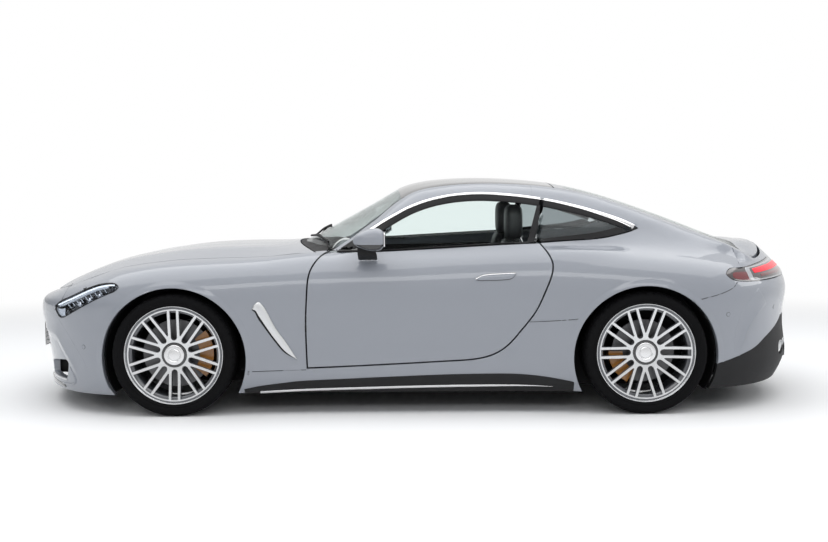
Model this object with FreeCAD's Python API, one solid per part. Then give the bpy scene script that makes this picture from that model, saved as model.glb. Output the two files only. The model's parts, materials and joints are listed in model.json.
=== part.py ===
# Coupe car: front engine, two doors, fastback tailgate, in millimetres.
# +X is forward, +Y is the car's left, +Z is up. The origin is on the ground,
# under the middle of the car's overall length.
import FreeCAD
import Part

import math
import os

V = FreeCAD.Vector

# ---- driving dimensions ----
overall_length = 4728.0
wheelbase = 2700.0
front_overhang = 990.0
tyre_radius = 352.0
tyre_width = 290.0
rim_radius = 284.0            # over the rim's flange
tyre_inset = 22.0             # tyre's outer wall inboard of the body's widest place
kingpin_inset = 32.0          # steering axis inboard of the tyre's middle plane
body_half_width = 992.0
belt_height = 952.0
roof_height = 1354.0
arch_radius = 413.0           # opening in the body side
arch_drop = 26.0              # the opening's centre, below the wheel's
panel_gap = 9.0               # round a panel that opens
bonnet_front_gap = 13.0
tail_gap = 16.0               # behind the tailgate, whose rear edge swings back as it lifts
seam_gap = 0.5                # between fixed panels
seat_gap = 0.3                # between a piece and what carries it
skin_depth = 40.0             # fixed side panels
door_depth = 75.0
lid_depth = 24.0
roof_depth = 30.0
rail_depth = 45.0
glass_depth = 6.0
glass_inset = 6.0              # glass behind the painted skin
floor_bottom = 122.0
floor_top = 140.0
pad_height = 10.0             # lifting pads under the floor
boot_floor = 500.0
tail_tray_bottom = 168.0
rail_inner = 300.0            # front side member, from the middle line
front_well_y = 455.0          # inner wall of a front wheelhouse, which steering needs
rear_well_y = 640.0
well_wall = 6.0
well_reach = 850.0            # the wheelhouses' outer edges, from the middle line
rim_band = 260.0
hub_radius = 74.0
hub_face = 40.0               # rim's mounting face, outboard of the tyre's middle plane
spoke_setback = 16.0          # spokes' face, inboard of the tyre's outer wall
spoke_pairs = 10
spoke_offset = 25.0           # each spoke of a pair, from the pair's middle line
spoke_width = 13.0
front_disc_radius = 195.0
rear_disc_radius = 180.0
disc_thickness = 34.0
disc_plane = 6.0
hat_radius = 82.0
caliper_cover = 58.0
caliper_rise = 22.0
caliper_air = 4.0
post_down, post_rise = 128.0, 112.0   # the uprights' ball joints, from the wheel's centre
seat_inner, seat_width = 150.0, 470.0
steering_radius = 180.0
wheel_tilt = 22.0
cowl_depth = 12.0
mirror_width = 150.0
tip_places = (452.0, 562.0)   # exhaust tips, from the middle line
tip_radius = 44.0
tip_z = 325.0
intake_corner = 22.0          # round the corners of the openings in the front bumper
grille_frame = 14.0
slat_height = 9.0

nose_end = overall_length / 2
tail_end = -overall_length / 2
axle_f = nose_end - front_overhang
axle_r = axle_f - wheelbase
wheel_z = tyre_radius
wheel_plane_y = body_half_width - tyre_width / 2 - tyre_inset
X_AXIS = V(1, 0, 0)
Y_AXIS = V(0, 1, 0)
Z_AXIS = V(0, 0, 1)

# The body's tables give places on a body drawn at these sizes. at, out and up put them
# on the real one, and drawn_x, drawn_y and drawn_z go back.
drawn_axle_f, drawn_axle_r, drawn_end = 1374.0, -1326.0, 2364.0
drawn_half_width, drawn_belt, drawn_roof = 992.0, 952.0, 1354.0


def line_map(value, before, after):
    """Straight-line map through matching lists of rising values, carried on past both ends."""
    i = 0
    while i < len(before) - 2 and value > before[i + 1]:
        i += 1
    share = (value - before[i]) / (before[i + 1] - before[i])
    return after[i] + share * (after[i + 1] - after[i])


drawn_stations = (-drawn_end, drawn_axle_r, drawn_axle_f, drawn_end)
real_stations = (tail_end, axle_r, axle_f, nose_end)
drawn_heights = (0.0, drawn_belt, drawn_roof)
real_heights = (0.0, belt_height, roof_height)


def at(x):
    return line_map(x, drawn_stations, real_stations)


def up(z):
    return line_map(z, drawn_heights, real_heights)


def out(y):
    return y * body_half_width / drawn_half_width


def drawn_x(x):
    return line_map(x, real_stations, drawn_stations)


def drawn_y(y):
    return y * drawn_half_width / body_half_width


def drawn_z(z):
    return line_map(z, real_heights, drawn_heights)


def curve(rows):
    """Natural cubic spline through (position, value) rows, straight beyond its ends."""
    rows = sorted(rows)
    xs = [r[0] for r in rows]
    ys = [r[1] for r in rows]
    n = len(xs)
    h = [xs[i + 1] - xs[i] for i in range(n - 1)]
    diagonal = [1.0] * n
    upper = [0.0] * n
    bend = [0.0] * n
    for i in range(1, n - 1):
        target = 6 * ((ys[i + 1] - ys[i]) / h[i] - (ys[i] - ys[i - 1]) / h[i - 1])
        diagonal[i] = 2 * (h[i - 1] + h[i]) - h[i - 1] * upper[i - 1]
        upper[i] = h[i] / diagonal[i]
        bend[i] = (target - h[i - 1] * bend[i - 1]) / diagonal[i]
    for i in range(n - 2, 0, -1):
        bend[i] -= upper[i] * bend[i + 1]
    first = (ys[1] - ys[0]) / h[0] - h[0] * bend[1] / 6
    last = (ys[-1] - ys[-2]) / h[-1] + h[-1] * bend[-2] / 6

    def value(x):
        if x <= xs[0]:
            return ys[0] + first * (x - xs[0])
        if x >= xs[-1]:
            return ys[-1] + last * (x - xs[-1])
        i = max(k for k in range(n - 1) if xs[k] <= x)
        a = (xs[i + 1] - x) / h[i]
        b = 1 - a
        return (a * ys[i] + b * ys[i + 1]
                + ((a ** 3 - a) * bend[i] + (b ** 3 - b) * bend[i + 1]) * h[i] ** 2 / 6)
    return value


# ---- the body's shape ----
# Half-width up the side at the front axle, the doors and the rear axle. Level 900 is the
# crest, wherever that is; levels up to 640 are heights above the ground.
crest_level = 900.0
waist_level = 640.0
half_width_rows = [
    # level, front, door, rear
    (80, 880, 850, 880),
    (150, 938, 905, 942),
    (220, 960, 924, 963),
    (300, 967, 929, 970),
    (400, 972, 926, 977),
    (520, 977, 929, 985),
    (640, 980, 934, 991),
    (700, 978, 932, 989),
    (760, 966, 924, 979),
    (820, 936, 897, 952),
    (860, 898, 860, 914),
    (900, 838, 800, 858),
    (940, 756, 716, 776),
]
front_profile = curve([(r[0], r[1]) for r in half_width_rows])
door_profile = curve([(r[0], r[2]) for r in half_width_rows])
rear_profile = curve([(r[0], r[3]) for r in half_width_rows])
# Height of the crest (bonnet edge, belt, then haunch) along the car, from the front axle.
crest_z = curve([
    (2300, 625), (2150, 690), (2000, 742), (1805, 794), (1690, 830), (1574, 853), (1459, 868),
    (1229, 884), (999, 895), (769, 905), (539, 917), (196, 930), (-268, 952), (-500, 964),
    (-732, 972), (-900, 968), (-1100, 950), (-1300, 925), (-1640, 888), (-1870, 857), (-2100, 830), (-2300, 800),
])
# Middle line of the bonnet and of the tail deck, and its drop out at the crest.
deck_z = curve([
    (2360, 560), (2320, 615), (2250, 672), (2145, 722), (2020, 790), (1909, 833), (1779, 870),
    (1648, 894), (1518, 914), (1388, 931), (1258, 941), (1000, 948), (870, 951), (700, 962), (400, 962),
    (0, 962), (-700, 974), (-1300, 968), (-1900, 962), (-2117, 952), (-2300, 940),
])
deck_drop = curve([
    (2300, 52), (2020, 60), (1900, 76), (1805, 73), (1690, 61), (1574, 59), (1344, 66),
    (1000, 67), (770, 62), (540, 48), (0, 14), (-700, 4), (-1000, 18), (-1300, 44),
    (-1640, 74), (-1870, 108), (-2100, 156),
])
# How far forward the nose and how far back the tail reach at each height.
nose_x = curve([(80, 2296), (130, 2326), (180, 2306), (270, 2308), (385, 2328), (490, 2350),
                (560, 2362), (610, 2358), (700, 2330), (850, 2270)])
tail_x = curve([(120, -2292), (200, -2334), (290, -2362), (380, -2352), (500, -2342), (600, -2350),
                (665, -2360), (720, -2352), (780, -2326), (830, -2290), (880, -2246), (930, -2192),
                (960, -2150)])
# Middle line of windscreen, roof and rear glass, and its drop at roof_edge.
roof_z = curve([
    (750, 928), (609, 1003), (479, 1072), (350, 1142), (220, 1214), (117, 1273), (27, 1313),
    (-102, 1339), (-232, 1350), (-361, 1354), (-490, 1352), (-619, 1345), (-749, 1334),
    (-878, 1316), (-1008, 1290), (-1138, 1256), (-1399, 1171), (-1660, 1074), (-1857, 996),
    (-2000, 944),
])
roof_drop = curve([(600, 103), (440, 97), (322, 91), (203, 84), (84, 66), (-95, 47), (-333, 39),
                   (-691, 34), (-1110, 35), (-1471, 43), (-1700, 42), (-1850, 38), (-2000, 54)])
roof_edge = 580.0
# Half-width of the cabin at belt height, and the run of the roof's edge seam.
cabin_y = curve([(700, 800), (450, 806), (0, 806), (-500, 800), (-800, 786), (-1100, 756),
                 (-1350, 722), (-1650, 680), (-1900, 645)])
rail_y = curve([(600, 722), (520, 704), (400, 672), (250, 632), (100, 590), (0, 566), (-200, 556), (-600, 552),
                (-900, 548), (-1200, 552), (-1500, 562), (-1800, 588), (-2000, 606), (-2200, 612)])
cabin_lean = 0.40
cabin_bow = 0.00037
# Plan outline past an axle: (share of the way to the end) ** along + (share of the
# half-width) ** across = 1.
front_along, front_across = 3.2, 1.72
rear_along, rear_across = 3.0, 1.85
side_scale = 950.0
crest_round = 30.0
roof_round = 50.0


def ease(t):
    t = min(1.0, max(0.0, t))
    return t * t * (3 - 2 * t)


def smooth_max(a, b, reach):
    overlap = max(reach - abs(a - b), 0.0) / reach
    return max(a, b) + overlap * overlap * reach / 4


def half_width(x, z):
    crest = crest_z(x)
    level = z
    if z > waist_level:
        level = waist_level + (z - waist_level) * (crest_level - waist_level) / (crest - waist_level)
    door = door_profile(level)
    front = ease((x - 520) / 750)
    rear = ease((-420 - x) / 850)
    width = door + (front_profile(level) - door) * front + (rear_profile(level) - door) * rear
    return max(width, 60.0)


def side_field(x, y, z):
    """Under zero inside the plan outline at height z, about a distance in mm near it."""
    ahead = 0.0
    along, across = front_along, front_across
    if x > drawn_axle_f:
        ahead = (x - drawn_axle_f) / (nose_x(z) - drawn_axle_f)
    if x < drawn_axle_r:
        ahead = (drawn_axle_r - x) / (drawn_axle_r - tail_x(z))
        along, across = rear_along, rear_across
    share = abs(y) / half_width(x, z)
    return side_scale * ((ahead ** along + share ** across) ** (2 / (along + across)) - 1)


def deck_field(x, y, z):
    power = 2.2 + 1.0 * ease((-600 - x) / 800)
    dome = 9 * math.exp(-((abs(y) - 430) / 150) ** 2) * ease((x - 700) / 300) * ease((2150 - x) / 500)
    return z - deck_z(x) - dome + deck_drop(x) * (abs(y) / 830) ** power


def cabin_field(x, y, z):
    rise = max(z - crest_z(max(-800, x)), -30)
    side = abs(y) - cabin_y(x) + cabin_lean * rise + cabin_bow * rise * abs(rise)
    top = z - roof_z(x) + roof_drop(x) * (abs(y) / roof_edge) ** 2.3
    ends = max(-2000 - x, crest_z(x) - 120 - z)
    return max(smooth_max(side, top, roof_round), ends)


def body_field(x, y, z):
    """The painted body's outside: below zero within it."""
    x, y, z = drawn_x(x), drawn_y(y), drawn_z(z)
    lower = smooth_max(side_field(x, y, z), deck_field(x, y, z), crest_round)
    haunch = ease((-900 - x) / 500) * (1 - ease((-1620 - x) / 330))
    blend = 4 + 130 * haunch * ease((abs(y) - 300) / 300)
    return -smooth_max(-lower, -cabin_field(x, y, z), blend)


def reach(inside, outside):
    """The point on the body's outside between one within it and one beyond it."""
    for _ in range(24):
        middle = (inside + outside) * 0.5
        if body_field(*middle) < 0:
            inside = middle
        else:
            outside = middle
    return inside


def top_point(x, y):
    return reach(V(x, y, 500), V(x, y, 1700))


def span(a, b, count):
    return [a + (b - a) * i / (count - 1) for i in range(count)]


def solid_between(outer, inner):
    """A solid lofted through sections, each a smooth outer line and the inner one behind it."""
    sections = []
    for outer_row, inner_row in zip(outer, inner):
        front, back = Part.BSplineCurve(), Part.BSplineCurve()
        front.interpolate(outer_row)
        back.interpolate(inner_row[::-1])
        sections.append(Part.Wire([
            front.toShape(), Part.LineSegment(outer_row[-1], inner_row[-1]).toShape(),
            back.toShape(), Part.LineSegment(inner_row[0], outer_row[0]).toShape()]))
    return Part.makeLoft(sections, True, False, False, 3)


def ring_panel(xs, hub_y, hub_z, angles, depth, inset=0.0):
    """A stretch of body side: rays fan out from a hub line along the car."""
    outer, inner = [], []
    for x in xs:
        outer_row, inner_row = [], []
        for angle in angles:
            ray = V(0, math.cos(math.radians(angle)), math.sin(math.radians(angle)))
            hub = V(x, out(hub_y), up(hub_z))
            point = reach(hub, hub + ray * 1500)
            outer_row.append(point - ray * inset)
            inner_row.append(point - ray * (inset + depth))
        outer.append(outer_row)
        inner.append(inner_row)
    return solid_between(outer, inner)


def ball_panel(hub, headings, rises, depth):
    """An end of the body: rays fan out all ways from one hub point."""
    outer, inner = [], []
    for heading in headings:
        outer_row, inner_row = [], []
        for rise in rises:
            a, b = math.radians(heading), math.radians(rise)
            ray = V(math.cos(a) * math.cos(b), math.sin(a) * math.cos(b), math.sin(b))
            point = reach(hub, hub + ray * 1600)
            outer_row.append(point)
            inner_row.append(point - ray * depth)
        outer.append(outer_row)
        inner.append(inner_row)
    return solid_between(outer, inner)


def top_panel(xs, ys, depth, bend=None):
    """A stretch of bonnet, glass, roof or deck, its depth measured straight down.

    bend(x, y) moves a point along the car, so that rows may follow a bowed edge."""
    outer = [[top_point(bend(x, y) if bend else x, y) for y in ys] for x in xs]
    inner = [[p - V(0, 0, depth) for p in row] for row in outer]
    return solid_between(outer, inner)


# ---- outlines ----
def grown(runs, by):
    """An outline's runs moved outward by a distance, corner by corner."""
    flat = []
    for run in runs:
        for p in run:
            if not flat or math.hypot(p[0] - flat[-1][0], p[1] - flat[-1][1]) > 0.01:
                flat.append(p)
    if math.hypot(flat[0][0] - flat[-1][0], flat[0][1] - flat[-1][1]) < 0.01:
        flat.pop()
    n = len(flat)
    area = sum(flat[i][0] * flat[(i + 1) % n][1] - flat[(i + 1) % n][0] * flat[i][1]
               for i in range(n))
    turn = 1 if area > 0 else -1

    def normal(a, b):
        dx, dy = b[0] - a[0], b[1] - a[1]
        size = math.hypot(dx, dy)
        return (turn * dy / size, -turn * dx / size)

    moved = {}
    for i, p in enumerate(flat):
        m, k = normal(flat[i - 1], p), normal(p, flat[(i + 1) % n])
        cos_between = m[0] * k[0] + m[1] * k[1]
        scale = by / max(1 + cos_between, 0.3)
        moved[(round(p[0], 3), round(p[1], 3))] = (p[0] + (m[0] + k[0]) * scale,
                                                   p[1] + (m[1] + k[1]) * scale)
    return [[moved[(round(p[0], 3), round(p[1], 3))] for p in run] for run in runs]


def outline_face(plane, runs):
    """A face from runs of points: a run of two is straight, a longer one is a smooth curve."""
    def place(p):
        return V(p[0], 0, p[1]) if plane == "side" else V(p[0], p[1], 0)
    edges = []
    closing = runs + [[runs[0][0]]]
    last = None
    for run in closing:
        points = [place(p) for p in run]
        if last is not None and (points[0] - last).Length > 0.01:
            edges.append(Part.LineSegment(last, points[0]).toShape())
        if len(points) == 2:
            edges.append(Part.LineSegment(points[0], points[1]).toShape())
        elif len(points) > 2:
            line = Part.BSplineCurve()
            line.interpolate(points)
            edges.append(line.toShape())
        last = points[-1]
    return Part.Face(Part.Wire(edges))


def side_prism(runs, y_from=-1300.0, y_to=1300.0):
    face = outline_face("side", runs)
    face.translate(V(0, y_from, 0))
    return face.extrude(V(0, y_to - y_from, 0))


def plan_prism(runs, z_from=-50.0, z_to=1700.0):
    face = outline_face("plan", runs)
    face.translate(V(0, 0, z_from))
    return face.extrude(V(0, 0, z_to - z_from))


def side_rows(rows):
    return [(at(x), up(z)) for x, z in rows]


def box(x0, x1, y0, y1, z0, z1):
    return Part.makeBox(x1 - x0, y1 - y0, z1 - z0, V(x0, y0, z0))


def rod(radius, start, end):
    way = end - start
    return Part.makeCylinder(radius, way.Length, start, way)


def mirrored(shape):
    return shape.mirror(V(0, 0, 0), Y_AXIS)


def both(shape):
    return Part.makeCompound([shape, mirrored(shape)])


def united(shapes):
    whole = shapes[0].multiFuse(shapes[1:])
    return whole.removeSplitter()


parts = {}


def keep(name, shape):
    """File a piece under its node's name, without slivers."""
    solids = [s for s in shape.Solids if s.Volume > 50.0]
    parts[name] = solids[0] if len(solids) == 1 else Part.makeCompound(solids)


# ---- lines on the body, in drawn sizes ----
door_front_edge = [(487, 925), (531, 906), (562, 874), (587, 831), (606, 716), (614, 560),
                   (613, 400), (608, 277)]
door_low_edge = [(608, 277), (419, 284), (190, 294), (-39, 305), (-211, 314), (-326, 321),
                 (-440, 345), (-526, 394), (-610, 487), (-693, 598), (-747, 713), (-781, 800),
                 (-789, 865), (-768, 918), (-727, 973)]
door_belt_edge = [(-727, 973), (-500, 964), (-268, 952), (-36, 940), (195, 929), (487, 925)]
door_runs = [side_rows(door_front_edge), side_rows(door_low_edge), side_rows(door_belt_edge)]
window_top = [(452, 927), (330, 1007), (230, 1071), (140, 1126), (23, 1188), (-94, 1229),
              (-212, 1253), (-331, 1264), (-449, 1264), (-626, 1250), (-802, 1223),
              (-979, 1183), (-1097, 1149), (-1214, 1110), (-1290, 1076), (-1325, 1053)]
window_belt = [(-1325, 1053), (-1269, 1032), (-1208, 1017), (-1147, 1004), (-1087, 995),
               (-968, 987), (-850, 981), (-733, 974), (-500, 965), (-268, 953), (-36, 941),
               (195, 930), (452, 927)]
window_runs = [side_rows(window_top), side_rows(window_belt)]
pillar_line = [(-716, 940), (-764, 1290)]
sill_low_edge = [(1000, 125), (-940, 125)]
lamp_line = [(2107, 617), (2080, 636), (2035, 661), (1989, 681), (1923, 711), (1862, 738),
             (1802, 757), (1736, 766), (1689, 756), (1678, 743)]
lamp_low_line = [(1678, 743), (1697, 723), (1756, 699), (1817, 672), (1881, 640), (1949, 604),
                 (2000, 577), (2039, 558), (2072, 557), (2090, 577), (2107, 617)]
tail_lamp_top = [(-1788, 800), (-1814, 824), (-1867, 828), (-1984, 835), (-2120, 850),
                 (-2400, 850)]
tail_lamp_low = [(-2400, 752), (-2150, 752), (-2065, 750), (-1945, 749), (-1862, 756),
                 (-1817, 769), (-1788, 800)]
rear_seam = [(-1500, 560), (-1623, 664), (-1712, 680), (-1773, 698), (-1839, 733), (-1862, 756)]
diffuser_line = [(-1690, 262), (-1741, 286), (-1821, 308), (-1919, 340), (-1985, 366),
                 (-2066, 418), (-2155, 470), (-2215, 520)]
# Openings in the front bumper, as (distance from the middle line, height).
grille_rows = [(-398, 326), (398, 326), (356, 596), (-356, 596)]
intake_rows = [(466, 190), (752, 190), (778, 306), (600, 284), (466, 258)]


def arch_hole(axle_x, grow=0.0):
    return rod(arch_radius + grow, V(axle_x, -1300, wheel_z - arch_drop),
               V(axle_x, 1300, wheel_z - arch_drop))


def bonnet_side(x):
    return out(line_map(drawn_x(x), (560, 1500, 2030), (742, 716, 690)))


def bonnet_runs(grow=0.0, front_grow=0.0):
    """Bonnet's plan outline: sides, a bowed front edge and a hollow rear edge."""
    rear = [(at(726 - 150 * (y / 735) ** 2) - grow, out(y) * (1 + grow / 735)) for y in
            (-735, -490, -245, 0, 245, 490, 735)]
    front = [(at(2256 - 246 * (abs(y) / 690) ** 2.3) + front_grow, out(y) * (1 + grow / 690))
             for y in (690, 580, 440, 230, 0, -230, -440, -580, -690)]
    left = [rear[-1], (at(1150), bonnet_side(at(1150)) + grow), front[0]]
    right = [front[-1], (at(1150), -bonnet_side(at(1150)) - grow), rear[0]]
    return [rear, left, front, right]


def rail_run(x_from, x_to, count, sign, by=0.0):
    return [(x, sign * (out(rail_y(drawn_x(x))) + by)) for x in span(x_from, x_to, count)]


roof_front, roof_rear = at(96), at(-836)


def roof_runs(by=0.0):
    front = [(roof_front - 26 * (abs(y) / 560) ** 2 + by, out(y)) for y in (-560, 0, 560)]
    front[0] = (front[0][0], -out(rail_y(drawn_x(roof_front))) - by)
    front[2] = (front[2][0], out(rail_y(drawn_x(roof_front))) + by)
    left = rail_run(front[2][0], roof_rear - by, 7, 1, by)
    right = rail_run(roof_rear - by, front[0][0], 7, -1, by)
    return [front, left, [left[-1], right[0]], right]


def tail_lip(y):
    """Where the tail deck's rear lip runs, by distance from the middle line."""
    share = (abs(y) / 860) ** rear_across
    return drawn_axle_r - (2184 + drawn_axle_r) * (1 - share) ** (1 / rear_along)


def along_lip(x, y):
    """Draw a point forward by its share of the lip's own bow."""
    share = (x - roof_rear) / (at(tail_lip(0)) - roof_rear)
    return x + (at(tail_lip(y)) - at(tail_lip(0))) * max(share, 0.0)


def tailgate_runs(by=0.0, tail_by=0.0):
    start, corner = roof_rear - panel_gap + by, at(-1975)
    left = rail_run(start, corner, 10, 1, by)
    right = [(x, -y) for x, y in left[::-1]]
    end = [(at(tail_lip(y)) - tail_by, out(y) * (1 + by / 580)) for y in
           (570, 450, 300, 150, 0, -150, -300, -450, -570)]
    return [left, [left[-1], end[0]], end, [end[-1], right[0]], right, [right[-1], left[0]]]


def foot_line(middle, sweep, ahead=0.0, count=9):
    """Points of a line bowed back from the middle, from right to left: x drops with y squared."""
    return [(at(middle - sweep * (y / 700) ** 2) + ahead, out(y)) for y in span(-700, 700, count)]


def clip_to_rail(line, by):
    """Bring a line's two ends to the pillars' inner edges."""
    edge = out(rail_y(drawn_x(line[-1][0]))) + by
    return [(line[0][0], -edge)] + line[1:-1] + [(line[-1][0], edge)]


def screen_runs():
    base = clip_to_rail(foot_line(690, 240), -seam_gap)
    left = rail_run(base[-1][0], roof_front - 24, 7, 1, -seam_gap)
    right = [(x, -y) for x, y in left[::-1]]
    return [base, left, [left[-1], (roof_front + seam_gap, 0), right[0]], right]


def cowl_runs(by=0.0):
    """Between the windscreen's foot and the bonnet's rear edge."""
    base = clip_to_rail(foot_line(690, 240, seam_gap - by), by)
    front = clip_to_rail(foot_line(726, 136, -panel_gap), by)
    left = rail_run(base[-1][0], front[-1][0], 9, 1, by)
    right = [(x, -y) for x, y in left[::-1]]
    return [base, left, front[::-1], right]


def front_prism(rows, by=0.0):
    """An outline seen from the front, its corners rounded, carried through the bumper."""
    moved = grown([[(out(y), up(z)) for y, z in rows]], by)[0]
    points = [V(at(1900), y, z) for y, z in moved]
    solid = Part.Face(Part.makePolygon(points + points[:1])).extrude(V(at(2600) - at(1900), 0, 0))
    long_edges = [e for e in solid.Edges if abs(e.tangentAt(e.FirstParameter).x) > 0.9]
    return solid.makeFillet(intake_corner + by, long_edges)


# ---- outer panels ----
def make_bonnet():
    sheet = top_panel(span(at(540), at(2290), 15), span(-out(770), out(770), 15), lid_depth)
    keep("bonnet", sheet.common(plan_prism(bonnet_runs())))


def make_front():
    """Bumper, headlamps, grille and wings."""
    nose_hub = V(at(1500), 0, up(420))
    headings = span(-89, 89, 29)
    rises = span(-27, 31, 11)
    nose = ball_panel(nose_hub, headings, rises, skin_depth)
    lamp = side_prism([side_rows(lamp_line), side_rows(lamp_low_line)], out(500), 1300)
    lamp_hole = side_prism(grown([side_rows(lamp_line), side_rows(lamp_low_line)], seam_gap),
                           out(500), 1300)
    lamp_holes = both(lamp_hole)
    thick_nose = ball_panel(nose_hub, headings, rises, 90.0)
    keep("headlamps", both(thick_nose.common(lamp)))
    # The seam between wing and bumper: the bumper lies ahead of it and below.
    seam = [side_rows([(2034, 1000), (2034, 700)]), side_rows([(2034, 700), (2060, 640)]),
            side_rows([(2060, 640), (1700, 734)]), side_rows([(1700, 734), (1560, 640)]),
            side_rows([(1560, 640), (1560, 60)]), side_rows([(1560, 60), (2600, 60)]),
            side_rows([(2600, 60), (2600, 1000)])]
    bonnet_hole = plan_prism(bonnet_runs(panel_gap, bonnet_front_gap))
    bumper = nose.common(side_prism(seam)).cut(bonnet_hole).cut(lamp_holes)
    bumper = bumper.cut(arch_hole(axle_f))
    # The wheelhouses stand behind the bumper's ends.
    well_end = out(well_reach) + seam_gap
    bumper = bumper.cut(rod(arch_radius + well_wall + seam_gap, V(axle_f, -well_end, wheel_z - arch_drop),
                            V(axle_f, well_end, wheel_z - arch_drop)))
    bumper = bumper.cut(box(0, 3000, -1300, 1300, -100, floor_bottom - 8))
    bumper = bumper.cut(front_prism(grille_rows)).cut(both(front_prism(intake_rows)))
    keep("front_bumper", bumper)
    # Grille: a frame that fits the opening, with slats across it.
    slab = ball_panel(nose_hub + V(-12, 0, 0), span(-60, 60, 17), rises, 26.0)
    frame = front_prism(grille_rows, -seat_gap).cut(front_prism(grille_rows, -grille_frame))
    across = front_prism(grille_rows, -grille_frame / 2)
    slats = [across.common(box(at(1900), at(2600), -500, 500, up(z) - slat_height / 2,
                               up(z) + slat_height / 2)) for z in span(366, 556, 6)]
    keep("front_grille", slab.common(united([frame] + slats)))
    # Wings: from the door to the seam, out to the bonnet's edge.
    wing_sheet = ring_panel(span(at(480), at(2075), 20), 350, 560, span(-42, 66, 15), skin_depth)
    wing_area = side_prism([side_rows([(400, 1050), (400, 262)]),
                            side_rows([(400, 262), (608, 262)]),
                            side_rows([(608, 262), (1010, 252)]),
                            side_rows([(1010, 252), (1010, 300)]),
                            side_rows([(1010, 300), (1560, 640)]),
                            side_rows([(1560, 640), (1700, 734)]),
                            side_rows([(1700, 734), (2060, 640)]),
                            side_rows([(2060, 640), (2034, 700)]),
                            side_rows([(2034, 700), (2034, 1050)])], 0, 1300)
    wing = wing_sheet.common(wing_area)
    wing = wing.cut(side_prism(grown(door_runs, panel_gap), 0, 1300))
    wing = wing.cut(bonnet_hole).cut(lamp_hole).cut(arch_hole(axle_f))
    wing = wing.cut(box(at(-200), at(488), 0, 1300, 0, 1400))
    wing = wing.cut(plan_prism(cowl_runs(seam_gap))).cut(plan_prism(grown(screen_runs(), seam_gap)))
    wing = wing.cut(nose.common(side_prism(grown(seam, seam_gap))))
    keep("front_wings", both(max(wing.Solids, key=lambda s: s.Volume)))


def make_doors():
    sheet = ring_panel(span(at(-840), at(660), 14), 400, 600, span(-40, 56, 13), door_depth)
    door = sheet.common(side_prism(door_runs, 0, 1300))
    door = max(door.Solids, key=lambda s: s.Volume)
    glass_sheet = ring_panel(span(at(-1400), at(446), 16), 120, 760, span(8, 66, 12), glass_depth,
                             glass_inset)
    window = side_prism(window_runs, 0, 1300)
    seat, dropped = window.copy(), window.copy()
    seat.translate(V(0, 0, seat_gap))
    dropped.translate(V(0, 0, -panel_gap))
    fore = side_prism([side_rows(pillar_line), side_rows([(-764, 1290), (600, 1290)]),
                       side_rows([(600, 1290), (600, 920)])], 0, 1300)
    aft = side_prism([side_rows([(-725, 940), (-773, 1290)]),
                      side_rows([(-773, 1290), (-1500, 1290)]),
                      side_rows([(-1500, 1290), (-1500, 940)])], 0, 1300)
    glass = glass_sheet.common(fore).common(seat).common(dropped)
    glass = max(glass.Solids, key=lambda t: t.Volume)
    quarter = glass_sheet.common(aft).common(side_prism(grown(window_runs, -seat_gap), 0, 1300))
    keep("left_door", door)
    keep("right_door", mirrored(door))
    keep("left_door_glass", glass)
    keep("right_door_glass", mirrored(glass))
    keep("quarter_windows", both(max(quarter.Solids, key=lambda s: s.Volume)))


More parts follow.
